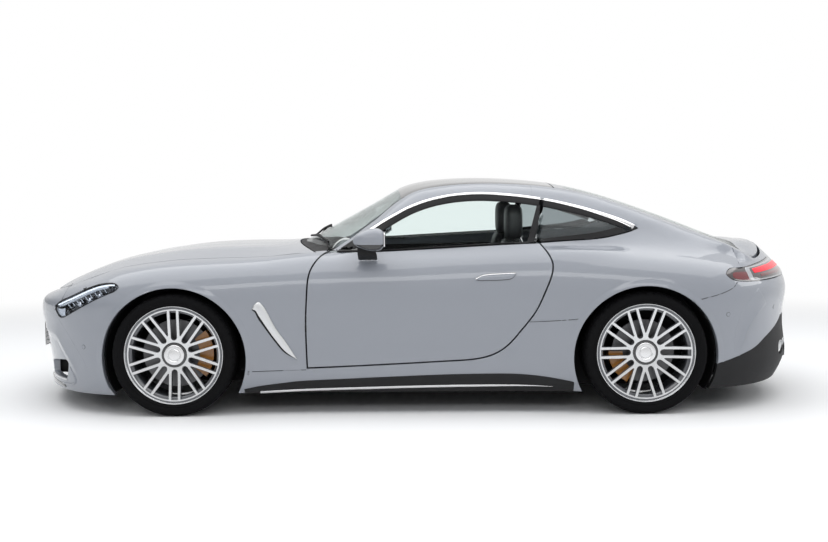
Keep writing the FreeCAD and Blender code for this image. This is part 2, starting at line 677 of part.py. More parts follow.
def make_upper_body():
    """Roof, pillars, glass, tailgate, rear quarters and the panels that meet them."""
    ys = span(-out(640), out(640), 13)
    roof = top_panel(span(at(-900), at(150), 9), ys, roof_depth)
    keep("roof_panel", roof.common(plan_prism(roof_runs())))
    screen = top_panel(span(at(60), at(740), 10), span(-out(760), out(760), 15), glass_depth + 1)
    keep("windscreen", screen.common(plan_prism(screen_runs())))

    window = side_prism(window_runs, 0, 1300)
    roof_hole = plan_prism(grown(roof_runs(), seam_gap))
    screen_hole = plan_prism(grown(screen_runs(), seam_gap))
    gate_hole = plan_prism(tailgate_runs(panel_gap, tail_gap))
    door_hole = side_prism(grown(door_runs, panel_gap), 0, 1300)

    # Pillar and roof rail, from the foot of the windscreen back to the rear quarter.
    rail_join = at(-700)
    rail = ring_panel(span(at(-740), at(590), 14), 100, 760, span(4, 84, 13), rail_depth)
    rail = rail.common(side_prism([side_rows([(-700, 1400), (-700, 1240)]),
                                   side_rows([(-700, 1240), (440, 918)]),
                                   side_rows([(440, 918), (560, 918)]),
                                   side_rows([(560, 918), (560, 1400)])], 0, 1300))
    rail = rail.cut(window).cut(roof_hole).cut(screen_hole).cut(door_hole)
    rail = rail.cut(plan_prism(bonnet_runs(panel_gap, bonnet_front_gap)))
    rail = rail.cut(parts["front_wings"]).cut(plan_prism(cowl_runs(seam_gap)))
    keep("roof_rails", both(max(rail.Solids, key=lambda t: t.Volume)))

    quarter = ring_panel(span(at(-2010), at(-600), 24), 150, 650, span(-40, 78, 24), skin_depth)
    area = [side_rows([(-700.5, 1400), (-700.5, 960)]), side_rows([(-700.5, 960), (-560, 543)]),
            side_rows([(-560, 543), (-1020, 545)]), side_rows([(-1020, 545), (-1500, 560)]),
            side_rows(rear_seam), side_rows([(-1862, 756), (-1900, 790)]), side_rows([(-1900, 790), (-1900, 1400)])]
    quarter = quarter.common(side_prism(area, 0, 1300))
    for hole in (door_hole, window, gate_hole, roof_hole, arch_hole(axle_r),
                 side_prism(grown([side_rows(tail_lamp_top), side_rows(tail_lamp_low)], seam_gap), 0, 1300)):
        quarter = quarter.cut(hole)
    keep("rear_quarters", both(max(quarter.Solids, key=lambda t: t.Volume)))

    rows = [at(x) for x in (-2192, -2176, -2156, -2130)] + span(at(-2090), at(-820), 18)
    gate = top_panel(rows, span(-out(625), out(625), 17), lid_depth, along_lip)
    gate = gate.common(plan_prism(tailgate_runs()))
    pane = [[(x, sign * (abs(y) - 46)) for x, y in rail_run(at(-915), at(-1960), 7, sign)]
            for sign in (1, -1)]
    pane_runs = [pane[0], [pane[0][-1], pane[1][-1]], pane[1][::-1], [pane[1][0], pane[0][0]]]
    hole = plan_prism(pane_runs)
    keep("tailgate", gate.cut(hole))
    glass = top_panel(span(at(-2110), at(-880), 14), span(-out(640), out(640), 13), glass_depth,
                      along_lip)
    keep("rear_glass", glass.common(plan_prism(grown(pane_runs, -seat_gap))))


def make_tail():
    tail_hub = V(at(-1500), 0, up(600))
    headings = span(91, 269, 29)
    shell = ball_panel(tail_hub, headings, span(-34, 13, 11), skin_depth)
    lamp_area = [side_rows(tail_lamp_top), side_rows(tail_lamp_low)]
    lamp_prism = side_prism(lamp_area, out(330), 1300)
    lamp_holes = both(side_prism(grown(lamp_area, seam_gap), out(330) - seam_gap, 1300))
    keep("tail_lamps", both(ball_panel(tail_hub, headings, span(-2, 22, 9), 60.0).common(lamp_prism)))
    gate_hole = plan_prism(tailgate_runs(panel_gap, tail_gap))
    diffuser_runs = [side_rows(diffuser_line), side_rows([(-2215, 520), (-2480, 520)]),
                     side_rows([(-2480, 520), (-2480, 138)]), side_rows([(-2480, 138), (-1500, 138)])]
    diffuser = side_prism(diffuser_runs)
    diffuser_hole = side_prism(grown(diffuser_runs, seam_gap))
    # Bumper: below a seam that runs back to the lamps, then level across the tail.
    low = [side_rows([(-1500, 120), (-1500, 560)]), side_rows(rear_seam),
           side_rows([(-1862, 756), (-2460, 756)]), side_rows([(-2460, 756), (-2460, 120)])]
    bumper = shell.common(side_prism([[(x, z - 2 * seam_gap) for x, z in run] for run in low]))
    bumper = bumper.cut(lamp_holes).cut(arch_hole(axle_r)).cut(diffuser_hole)
    keep("rear_bumper", max(bumper.Solids, key=lambda t: t.Volume))
    panel = ball_panel(tail_hub, headings, span(4, 30, 11), skin_depth)
    panel = panel.common(box(at(-2460), at(-1900.5), -1300, 1300, up(756.5), up(1000)))
    panel = panel.cut(lamp_holes).cut(gate_hole)
    keep("rear_panel", panel)
    low_block = box(at(-2480), at(-1640), -1300, 1300, up(138), up(560))
    lower = shell.common(low_block).cut(low_block.cut(diffuser)).cut(arch_hole(axle_r))
    for y in tip_places:
        for side in (1, -1):
            lower = lower.cut(rod(tip_radius + seat_gap, V(at(-2500), side * out(y), tip_z),
                                  V(at(-1900), side * out(y), tip_z)))
    keep("rear_diffuser", lower)
    tips = []
    for y in tip_places:
        start = V(at(tail_lip(y) - 150), out(y), tip_z)
        end = V(at(-2050), out(y), tip_z)
        tips.append(rod(tip_radius, start, end).cut(rod(tip_radius - 5, start, end - V(20, 0, 0))))
    keep("exhaust_tips", both(Part.makeCompound(tips)))


def make_sills():
    sheet = ring_panel(span(at(-1040), at(1010), 18), 400, 500, span(-54, 18, 10), skin_depth)
    area = side_prism([side_rows([(1010, 126), (1010, 251.5)]), side_rows([(1010, 251.5), (608, 261)]),
                       side_rows([(608, 261), (608, 300)]), side_rows([(608, 300), (-560, 542.5)]),
                       side_rows([(-560, 542.5), (-1020, 544.5)]),
                       side_rows([(-1020, 544.5), (-1020, 126)])], 0, 1300)
    sill = sheet.common(area).cut(side_prism(grown(door_runs, panel_gap), 0, 1300))
    sill = sill.cut(arch_hole(axle_f)).cut(arch_hole(axle_r)).cut(parts["front_wings"])
    keep("side_sills", both(max(sill.Solids, key=lambda t: t.Volume)))


# ---- wheels ----
def turned(rows, x, y, z):
    """A solid turned about the wheel's axle: rows are (radius, distance outboard)."""
    points = [V(x + r, y + w, z) for r, w in rows]
    profile = Part.Face(Part.makePolygon(points + [points[0]]))
    return profile.revolve(V(x, y, z), Y_AXIS, 360)


def tyre_shape(x, y):
    half = tyre_width / 2
    bead = rim_radius - 8
    rows = [(bead, half - 22 - seat_gap), (rim_radius + seat_gap, half - 22 - seat_gap),
            (rim_radius + seat_gap, half - 16), (rim_radius + 14, half - 8), (rim_radius + 34, half),
            (tyre_radius - 22, half - 3), (tyre_radius - 7, half - 14), (tyre_radius, half - 34)]
    ring = rows + [(r, -w) for r, w in rows[::-1]]
    return turned(ring, x, y, wheel_z)


def rim_shape(x, y, side, phase):
    """Rim with ten pairs of parallel spokes; side is 1 on the left and -1 on the right."""
    half = tyre_width / 2
    bead = rim_radius - 8 - seat_gap
    barrel = [(rim_radius, half - 21), (rim_radius, half - 12), (rim_radius - 7, half - 12),
              (rim_band, half - 20), (rim_band - 3, half - 40), (rim_band - 12, half - 80),
              (rim_band - 12, -half + 14), (rim_radius, -half + 14), (rim_radius, -half + 21),
              (bead, -half + 22), (bead - 5, -half + 60), (bead - 5, half - 60), (bead, half - 22)]
    whole = [turned([(r, side * w) for r, w in barrel], x, y, wheel_z)]
    face = half - spoke_setback
    hub = [(0, face), (hub_radius, face), (hub_radius + 6, face - 10), (hub_radius + 8, hub_face),
           (0, hub_face)]
    whole.append(turned([(r, side * w) for r, w in hub], x, y, wheel_z))
    for pair in range(spoke_pairs):
        angle = phase + 360 * pair / spoke_pairs
        for offset in (-spoke_offset, spoke_offset):
            # A spoke tapers in depth towards the rim; a wide foot joins its neighbour.
            lean = offset / abs(offset)
            side_view = [V(55, face - 4, 0), V(rim_band + 3, face + 6, 0),
                         V(rim_band + 3, face - 22, 0), V(150, face - 40, 0), V(55, face - 50, 0)]
            spoke = Part.Face(Part.makePolygon(side_view + [side_view[0]])).extrude(
                V(0, 0, spoke_width))
            spoke.translate(V(0, 0, offset - spoke_width / 2))
            if side < 0:
                spoke = spoke.mirror(V(0, 0, 0), Y_AXIS)
            spoke.rotate(V(0, 0, 0), Y_AXIS, -angle)
            spoke.translate(V(x, y, wheel_z))
            whole.append(spoke)
    return united(whole)


def disc_shape(x, y, side, radius):
    inner = y + side * disc_plane
    ring = [(hat_radius, -disc_thickness / 2), (radius, -disc_thickness / 2),
            (radius, disc_thickness / 2), (hat_radius, disc_thickness / 2),
            (hat_radius, hub_face - disc_plane - seat_gap),
            (0, hub_face - disc_plane - seat_gap), (0, hub_face - disc_plane - 8),
            (hat_radius - 6, hub_face - disc_plane - 8), (hat_radius - 6, -disc_thickness / 2)]
    return turned([(r, side * w) for r, w in ring], x, inner, wheel_z)


def caliper_shape(x, y, side, disc_radius, start, end):
    """A bridge over the disc's edge between two angles, measured from the car's front."""
    inner = disc_radius - caliper_cover
    outer = disc_radius + caliper_rise
    half = disc_thickness / 2
    rows = [(inner, half + caliper_air), (disc_radius + caliper_air, half + caliper_air),
            (disc_radius + caliper_air, -half - caliper_air), (inner, -half - caliper_air),
            (inner, -half - 34), (outer, -half - 34), (outer, half + 26), (inner, half + 26)]
    points = [V(x + r, y + side * (disc_plane + w), wheel_z) for r, w in rows]
    profile = Part.Face(Part.makePolygon(points + [points[0]]))
    profile.rotate(V(x, 0, wheel_z), Y_AXIS, -start)
    return profile.revolve(V(x, y, wheel_z), Y_AXIS, -(end - start))


def make_wheels():
    table = [
        # name, axle x, side, spoke phase, disc radius, caliper from, to (degrees, 0 = forward)
        ("front_left", axle_f, 1, 90, front_disc_radius, 142, 218),
        ("front_right", axle_f, -1, 90, front_disc_radius, 142, 218),
        ("rear_left", axle_r, 1, 72, rear_disc_radius, -62, 0),
        ("rear_right", axle_r, -1, 72, rear_disc_radius, -62, 0),
    ]
    rear_calipers, carriers = [], []
    for name, x, side, phase, radius, start, end in table:
        y = side * wheel_plane_y
        keep(name + "_tyre", tyre_shape(x, y))
        keep(name + "_rim", rim_shape(x, y, side, phase))
        keep(name + "_disc", disc_shape(x, y, side, radius))
        caliper = caliper_shape(x, y, side, radius, start, end)
        # Upright: a hub drum behind the disc, an arm up and down, and a lug to the caliper.
        back = y + side * (disc_plane - disc_thickness / 2 - 6)
        drum = rod(62.0, V(x, back - side * 60, wheel_z), V(x, back, wheel_z))
        stub = rod(hat_radius - 12, V(x, back - side * 4, wheel_z),
                   V(x, y + side * (hub_face - 8 - seat_gap), wheel_z))
        post = box(x - 30, x + 30, min(back, back - side * 44), max(back, back - side * 44),
                   wheel_z - post_down, wheel_z + post_rise)
        middle = math.radians((start + end) / 2)
        lug_end = V(x + (radius + 4) * math.cos(middle), back - side * 30,
                    wheel_z + (radius + 4) * math.sin(middle))
        lug = rod(16.0, V(x, back - side * 30, wheel_z), lug_end)
        upright = united([drum, stub, post, lug]).cut(caliper)
        if x == axle_f:
            keep(name + "_caliper", caliper)
            keep(name + "_knuckle", upright)
        else:
            rear_calipers.append(caliper)
            carriers.append(upright)
    keep("rear_calipers", Part.makeCompound(rear_calipers))
    keep("rear_hub_carriers", Part.makeCompound(carriers))


# ---- under the body ----
def make_chassis():
    floor_half = out(790)
    tray = box(at(-1640), at(1760), -floor_half, floor_half, floor_bottom, floor_top)
    nose_tray = Part.Face(Part.makePolygon([V(at(x), out(y), floor_bottom) for x, y in (
        (1740, -650), (2030, -500), (2180, -240), (2180, 240), (2030, 500), (1740, 650), (1740, -650))]))
    nose_tray = nose_tray.extrude(V(0, 0, floor_top - floor_bottom))
    tail_tray = Part.Face(Part.makePolygon([V(at(x), out(y), tail_tray_bottom) for x, y in (
        (-1600, -700), (-1940, -560), (-2080, -250), (-2080, 250), (-1940, 560), (-1600, 700),
        (-1600, -700))])).extrude(V(0, 0, floor_top - floor_bottom))
    riser = box(at(-1640), at(-1600), -out(640), out(640), floor_bottom,
                tail_tray_bottom + floor_top - floor_bottom)
    tunnel = box(at(-900), at(640), -120, 120, floor_bottom + 4, 360)
    tunnel = tunnel.cut(box(at(-900) - 1, at(640) + 1, -108, 108, floor_bottom - 1, 348))
    firewall = box(at(640), at(652), -out(700), out(700), floor_bottom + 4, up(860))
    bulkhead = box(at(-1012), at(-1000), -out(640), out(640), floor_bottom + 4, boot_floor)
    boot = box(at(-2120), at(-1000), -out(560), out(560), boot_floor - 12, boot_floor)
    boot_back = box(at(-2120), at(-2108), -out(560), out(560), boot_floor - 12, up(700))
    rails = both(box(at(640), at(2130), out(rail_inner), out(rail_inner) + 50, 330, 420)).Solids
    feet = both(box(at(2080), at(2130), out(rail_inner), out(rail_inner) + 50, floor_top - 4, 420))
    cross = box(at(2080), at(2130), -out(420), out(420), 330, 420)
    whole = [tray, nose_tray, tail_tray, riser, firewall, bulkhead, boot, boot_back, cross]
    whole += rails + feet.Solids + tunnel.Solids
    for x in (800, -800):
        whole += both(box(at(x) - 35, at(x) + 35, out(665), out(735), floor_bottom - pad_height,
                          floor_bottom + 1)).Solids
    for x, inner_y in ((axle_f, front_well_y), (axle_r, rear_well_y)):
        clear = rod(arch_radius, V(x, -1300, wheel_z - arch_drop), V(x, 1300, wheel_z - arch_drop))
        clear = clear.cut(box(x - 600, x + 600, -inner_y, inner_y, -200, 1200))
        whole = [t.cut(clear) for t in whole]
        for side in (1, -1):
            well = rod(arch_radius + well_wall, V(x, side * inner_y, wheel_z - arch_drop),
                       V(x, side * out(well_reach), wheel_z - arch_drop))
            well = well.cut(rod(arch_radius, V(x, side * (inner_y + well_wall), wheel_z - arch_drop),
                                V(x, side * 1300, wheel_z - arch_drop)))
            well = well.cut(box(x - 600, x + 600, -1300, 1300, -400, floor_bottom + 2))
            whole.append(well.cut(box(x - 150, x + 150, -1300, 1300, 0, wheel_z + 150)))
    keep("underbody", united(whole))


def rounded_profile(points, y0, y1, radius):
    """A side outline carried across the car, its edges rounded."""
    face = Part.Face(Part.makePolygon([V(x, y0, z) for x, z in points + [points[0]]]))
    solid = face.extrude(V(0, y1 - y0, 0))
    return solid.makeFillet(radius, solid.Edges)


def make_running_gear():
    for name, x, block_half in (("front_suspension", axle_f, 0.0), ("rear_suspension", axle_r, 130.0)):
        base = floor_top + seat_gap
        whole = [box(x - 60, x + 60, -405, 405, base, base + 50)]
        post_y = wheel_plane_y - kingpin_inset
        post_foot, post_head = wheel_z - post_down, wheel_z + post_rise
        for side in (1, -1):
            joint = V(x, side * post_y, post_foot - seat_gap - 20)
            whole.append(rod(12.0, joint, joint + V(0, 0, 20)))
            for spread in (-1, 1):
                whole.append(rod(9.0, joint + V(0, 0, 10),
                                 V(x + spread * 50, side * 385, base + 25)))
            top = V(x, side * post_y, post_head + seat_gap)
            whole.append(rod(12.0, top, top + V(0, 0, 18)))
            tower = box(x - 40, x + 40, min(side * 365, side * 405), max(side * 365, side * 405),
                        base + 40, post_head + 18)
            whole.append(tower)
            for spread in (-1, 1):
                whole.append(rod(8.0, top + V(0, 0, 9), V(x + spread * 28, side * 385, post_head + 9)))
            if block_half:
                inner = V(x, side * 100, wheel_z)
                end_y = wheel_plane_y + disc_plane - disc_thickness / 2 - 66 - seat_gap
                whole.append(rod(17.0, inner, V(x, side * end_y, wheel_z)))
        if block_half:
            whole.append(box(x - 150, x + 150, -block_half, block_half, base + 20, wheel_z + 90))
        keep(name, united(whole))
    base = floor_top + seat_gap
    engine = box(at(760), at(1430), -280, 280, base + 90, up(820))
    engine = engine.cut(box(axle_f - 64, axle_f + 64, -400, 400, 0, base + 54))
    feet = both(box(at(900), at(980), 120, 200, base, base + 90)).Solids
    gearbox = box(at(652) + seat_gap, at(780), -200, 200, base + 60, 560)
    keep("engine_block", united([engine, gearbox] + feet))
    radiator = box(at(1930), at(1990), -out(290), out(290), base, up(600))
    keep("radiator", radiator)


def make_cabin():
    base = floor_top + seat_gap
    profile = [(at(-20), base + 60), (at(-20), base + 210), (at(-440), base + 160),
               (at(-620), up(860)), (at(-640), up(990)), (at(-740), up(990)), (at(-700), up(700)),
               (at(-560), base), (at(-160), base)]
    seats = []
    for side in (1, -1):
        y0, y1 = sorted((side * out(seat_inner), side * out(seat_inner + seat_width)))
        seats.append(rounded_profile(profile, y0, y1, 22.0))
    keep("front_seats", Part.makeCompound(seats))
    bench = [(at(-770), base), (at(-770), up(400)), (at(-880), up(380)), (at(-925), up(760)),
             (at(-990), up(760)), (at(-999), base)]
    keep("rear_seat", both(rounded_profile(bench, 124.0, out(590), 12.0)))
    dash = [(at(640) - seat_gap, up(560)), (at(640) - seat_gap, up(850)), (at(560), up(862)),
            (at(400), up(852)), (at(330), up(800)), (at(350), up(660)), (at(480), up(560))]
    keep("dashboard", rounded_profile(dash, -out(640), out(640), 12.0))
    console = [(at(420), 360 + seat_gap), (at(420), up(560)), (at(300), up(560)), (at(60), up(470)),
               (at(-480), up(470)), (at(-500), 360 + seat_gap)]
    keep("centre_console", rounded_profile(console, -100, 100, 12.0))
    hub = V(at(150), out(seat_inner + seat_width / 2), up(760))
    tilt = math.radians(wheel_tilt)
    way = V(math.cos(tilt), 0, -math.sin(tilt))
    ring = Part.makeTorus(steering_radius, 15.0, hub, way)
    spokes = [rod(9.0, hub, hub + (Y_AXIS * math.cos(math.radians(a))
              + way.cross(Y_AXIS) * math.sin(math.radians(a))) * (steering_radius - 6))
              for a in (0, 180, 90)]
    centre = rod(45.0, hub - way * 12, hub + way * 40)
    column = rod(26.0, hub + way * 30, hub + way * 330)
    wheel = united([ring, centre, column] + spokes).cut(parts["dashboard"])
    keep("steering_wheel", max(wheel.Solids, key=lambda t: t.Volume))
    # Cowl: the strip across the foot of the windscreen.
    strip = top_panel(span(at(420), at(740), 9), span(-out(720), out(720), 15), cowl_depth)
    cowl = strip.common(plan_prism(cowl_runs(-2 * seam_gap)))
    cowl = cowl.cut(both(side_prism(grown(door_runs, panel_gap + 6), out(560), 1300)))
    keep("cowl_panel", max(cowl.Solids, key=lambda t: t.Volume))


def make_mirrors():
    shell = [(at(159), up(1012)), (at(172), up(1060)), (at(225), up(1081)), (at(305), up(1074)),
             (at(342), up(1040)), (at(336), up(996)), (at(290), up(984)), (at(190), up(986))]
    inner_y = body_half_width - 92
    head = rounded_profile(shell, inner_y, inner_y + mirror_width, 16.0)
    foot = Part.Face(Part.makePolygon([V(at(x), 0, up(z)) for x, z in (
        (206, 850), (319, 850), (300, 1020), (228, 1020), (206, 850))]))
    foot = foot.extrude(V(0, 62, 0))
    foot.translate(V(0, inner_y - 44, 0))
    mirror = united([head, foot]).cut(parts["left_door"])
    mirror = max(mirror.Solids, key=lambda t: t.Volume)
    keep("left_mirror", mirror)
    keep("right_mirror", mirrored(mirror))


def make_hinges():
    pin = panel_gap / 2 - seat_gap
    door_x, door_y = at(614) + panel_gap / 2, out(932)
    pins = []
    for z in (500, 555):
        for side in (1, -1):
            pins.append(rod(pin - 0.4, V(door_x, side * door_y, up(z) - 18),
                            V(door_x, side * door_y, up(z) + 18)))
    bonnet_x = at(576) - panel_gap / 3
    wings = parts["front_wings"].translated(V(seat_gap, 0, 0))
    bonnet_z = top_point(bonnet_x, out(728)).z
    gate_x = roof_rear - panel_gap / 2
    gate_z = top_point(gate_x, 0).z
    for side in (1, -1):
        corner = out(735)
        short = rod(pin - 0.9, V(bonnet_x, side * (corner - 7.5), bonnet_z - pin),
                    V(bonnet_x, side * (corner - 1.5), bonnet_z - pin))
        pins.append(max(short.cut(wings).Solids, key=lambda t: t.Volume))
        pins.append(rod(pin, V(gate_x, side * 90, gate_z - pin), V(gate_x, side * 140, gate_z - pin)))
    keep("hinge_pins", Part.makeCompound(pins))


make_wheels()
make_chassis()
make_running_gear()
make_bonnet()
make_front()
make_doors()
make_upper_body()
make_tail()
make_sills()
make_cabin()
make_mirrors()
make_hinges()
os.makedirs("parts", exist_ok=True)
for name, shape in parts.items():
    shape.exportStep("parts/" + name + ".step")
    print(name, len(shape.Solids), round(shape.Volume / 1e6, 2), shape.isValid())
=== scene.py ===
import json
import math

import bmesh
import bpy
from mathutils import Matrix, Vector
from mathutils.bvhtree import BVHTree

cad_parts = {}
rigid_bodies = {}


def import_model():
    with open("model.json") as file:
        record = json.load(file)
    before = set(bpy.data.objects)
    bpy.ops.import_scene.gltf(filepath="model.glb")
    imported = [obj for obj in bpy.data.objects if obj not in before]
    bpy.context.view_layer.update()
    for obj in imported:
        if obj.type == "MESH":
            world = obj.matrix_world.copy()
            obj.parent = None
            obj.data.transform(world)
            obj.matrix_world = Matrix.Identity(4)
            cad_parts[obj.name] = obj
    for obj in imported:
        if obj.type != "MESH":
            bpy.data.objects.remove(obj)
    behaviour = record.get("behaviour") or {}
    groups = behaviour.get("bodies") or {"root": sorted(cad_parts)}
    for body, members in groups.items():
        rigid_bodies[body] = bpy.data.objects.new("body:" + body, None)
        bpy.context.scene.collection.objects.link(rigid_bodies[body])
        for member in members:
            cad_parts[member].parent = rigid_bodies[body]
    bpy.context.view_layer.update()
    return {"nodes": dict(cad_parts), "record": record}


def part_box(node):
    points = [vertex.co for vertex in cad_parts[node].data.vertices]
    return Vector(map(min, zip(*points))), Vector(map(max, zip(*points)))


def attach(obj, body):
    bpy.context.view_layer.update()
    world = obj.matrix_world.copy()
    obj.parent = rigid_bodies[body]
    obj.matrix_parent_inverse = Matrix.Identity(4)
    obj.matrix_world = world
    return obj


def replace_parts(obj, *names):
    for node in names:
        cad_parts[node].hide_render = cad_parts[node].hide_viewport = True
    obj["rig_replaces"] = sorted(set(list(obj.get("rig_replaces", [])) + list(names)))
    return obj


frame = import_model()
nodes = frame["nodes"]
bodyOf = {name: body for body, names in frame["record"]["behaviour"]["bodies"].items() for name in names}


class Signal:
    # a shader socket that takes part in Python arithmetic
    def __init__(self, sheet, socket):
        self.sheet, self.socket = sheet, socket

    def math(self, operation, first, second=0.0):
        return self.sheet.node("ShaderNodeMath", {"operation": operation}, {0: first, 1: second})

    def __add__(self, other):
        return self.math("ADD", self, other)

    def __radd__(self, other):
        return self.math("ADD", other, self)

    def __sub__(self, other):
        return self.math("SUBTRACT", self, other)

    def __rsub__(self, other):
        return self.math("SUBTRACT", other, self)

    def __mul__(self, other):
        return self.math("MULTIPLY", self, other)

    def __rmul__(self, other):
        return self.math("MULTIPLY", other, self)


class Sheet:
    # a node tree with one way to add a node
    def __init__(self, name, tree=None):
        if tree is None:
            self.material = bpy.data.materials.new(name)
            self.material.use_nodes = True
            tree = self.material.node_tree
        self.tree = tree
        self.tree.nodes.clear()

    def node(self, kind, settings=None, links=None, out=0):
        made = self.tree.nodes.new(kind)
        for key, value in (settings or {}).items():
            if key == "stops":
                ramp = made.color_ramp
                for place, colour in value[1:-1]:
                    ramp.elements.new(place)
                for element, (place, colour) in zip(ramp.elements, value):
                    element.position, element.color = place, colour
            else:
                setattr(made, key, value)
        for key, value in (links or {}).items():
            if isinstance(value, Signal):
                self.tree.links.new(value.socket, made.inputs[key])
            else:
                made.inputs[key].default_value = value
        return Signal(self, made.outputs[out])

    def place(self, centre=(0, 0, 0), scale=(1, 1, 1)):
        spot = self.node("ShaderNodeTexCoord", out=3)
        spot = self.node("ShaderNodeVectorMath", {"operation": "SUBTRACT"}, {0: spot, 1: centre})
        return self.node("ShaderNodeVectorMath", {"operation": "MULTIPLY"}, {0: spot, 1: scale})

    def noise(self, scale, detail=2.0, where=None, stretch=(1, 1, 1)):
        where = where or self.place(scale=stretch)
        return self.node("ShaderNodeTexNoise", {}, {"Vector": where, "Scale": scale, "Detail": detail})

    def blend(self, factor, first, second):
        return self.node("ShaderNodeMix", {"data_type": "RGBA"}, {0: factor, 6: first, 7: second}, out=2)

    def bump(self, height, strength, distance=0.001):
        return self.node("ShaderNodeBump", {},
                         {"Height": height, "Strength": strength, "Distance": distance})

    def finish(self, links):
        skin = self.node("ShaderNodeBsdfPrincipled", {}, links)
        self.node_out(skin)
        return self.material

    def node_out(self, shader):
        out = self.tree.nodes.new("ShaderNodeOutputMaterial")
        self.tree.links.new(shader.socket, out.inputs[0])


def paintFinish():
    # solid cool grey under clear lacquer
    look = {"base": (0.275, 0.292, 0.328, 1), "deep": (0.262, 0.279, 0.314, 1)}
    sheet = Sheet("bodyPaint")
    drift = sheet.noise(2.5, 3)
    grain = sheet.noise(900, 1)
    return sheet.finish({
        "Base Color": sheet.blend(drift * 0.6 + grain * 0.3, look["deep"], look["base"]),
        "Roughness": 0.38 + grain * 0.08, "Coat Weight": 1.0, "Coat Roughness": 0.03,
        "Specular IOR Level": 0.4,
        "Normal": sheet.bump(sheet.noise(260, 1), 0.02)})


def glossFinish(name, colour, rough=0.12, coat=0.6, grain=400):
    sheet = Sheet(name)
    speck = sheet.noise(grain, 2)
    darker = tuple(c * 0.8 for c in colour[:3]) + (1,)
    return sheet.finish({
        "Base Color": sheet.blend(speck, darker, colour),
        "Roughness": rough + speck * 0.06, "Coat Weight": coat, "Coat Roughness": 0.05,
        "Normal": sheet.bump(speck, 0.03)})


def plasticFinish(name, colour, rough=0.55, grain=1200, shine=0.5):
    sheet = Sheet(name)
    grit = sheet.noise(grain, 3)
    patch = sheet.noise(12, 2)
    lighter = tuple(c * 1.35 for c in colour[:3]) + (1,)
    return sheet.finish({
        "Base Color": sheet.blend(patch, colour, lighter),
        "Roughness": rough + grit * 0.15 - patch * 0.05, "Specular IOR Level": shine,
        "Normal": sheet.bump(grit, 0.25)})


def metalFinish(name, colour, rough=0.18, streak=(1, 1, 40), wear=0.08):
    sheet = Sheet(name)
    line = sheet.noise(60, 3, stretch=streak)
    dull = tuple(c * 0.85 for c in colour[:3]) + (1,)
    return sheet.finish({
        "Base Color": sheet.blend(line, dull, colour), "Metallic": 1.0,
        "Roughness": rough + line * wear, "Normal": sheet.bump(line, 0.04)})


def glassFinish(name, tint, cover, rough=0.02, veil=0.04):
    sheet = Sheet(name)
    dust = sheet.noise(18, 3)
    clear = sheet.node("ShaderNodeBsdfTransparent", {}, {"Color": tint})
    skin = sheet.node("ShaderNodeBsdfPrincipled", {}, {
        "Base Color": tuple(c * veil for c in tint[:3]) + (1,), "Roughness": rough + dust * 0.03,
        "Coat Weight": 1.0, "Coat Roughness": 0.01})
    facing = sheet.node("ShaderNodeLayerWeight", {}, {"Blend": 0.5}, out=1)
    shine = facing.math("POWER", facing, 3.0) * 0.55
    sheet.node_out(sheet.node("ShaderNodeMixShader", {}, {0: shine + cover, 1: clear, 2: skin}))
    return sheet.material


def glowFinish(name, colour, strength):
    sheet = Sheet(name)
    drift = sheet.noise(30, 2)
    darker = tuple(c * 0.85 for c in colour[:3]) + (1,)
    return sheet.finish({
        "Base Color": sheet.blend(drift, darker, colour), "Roughness": 0.15 + drift * 0.05,
        "Emission Color": sheet.blend(drift, darker, colour), "Emission Strength": strength})


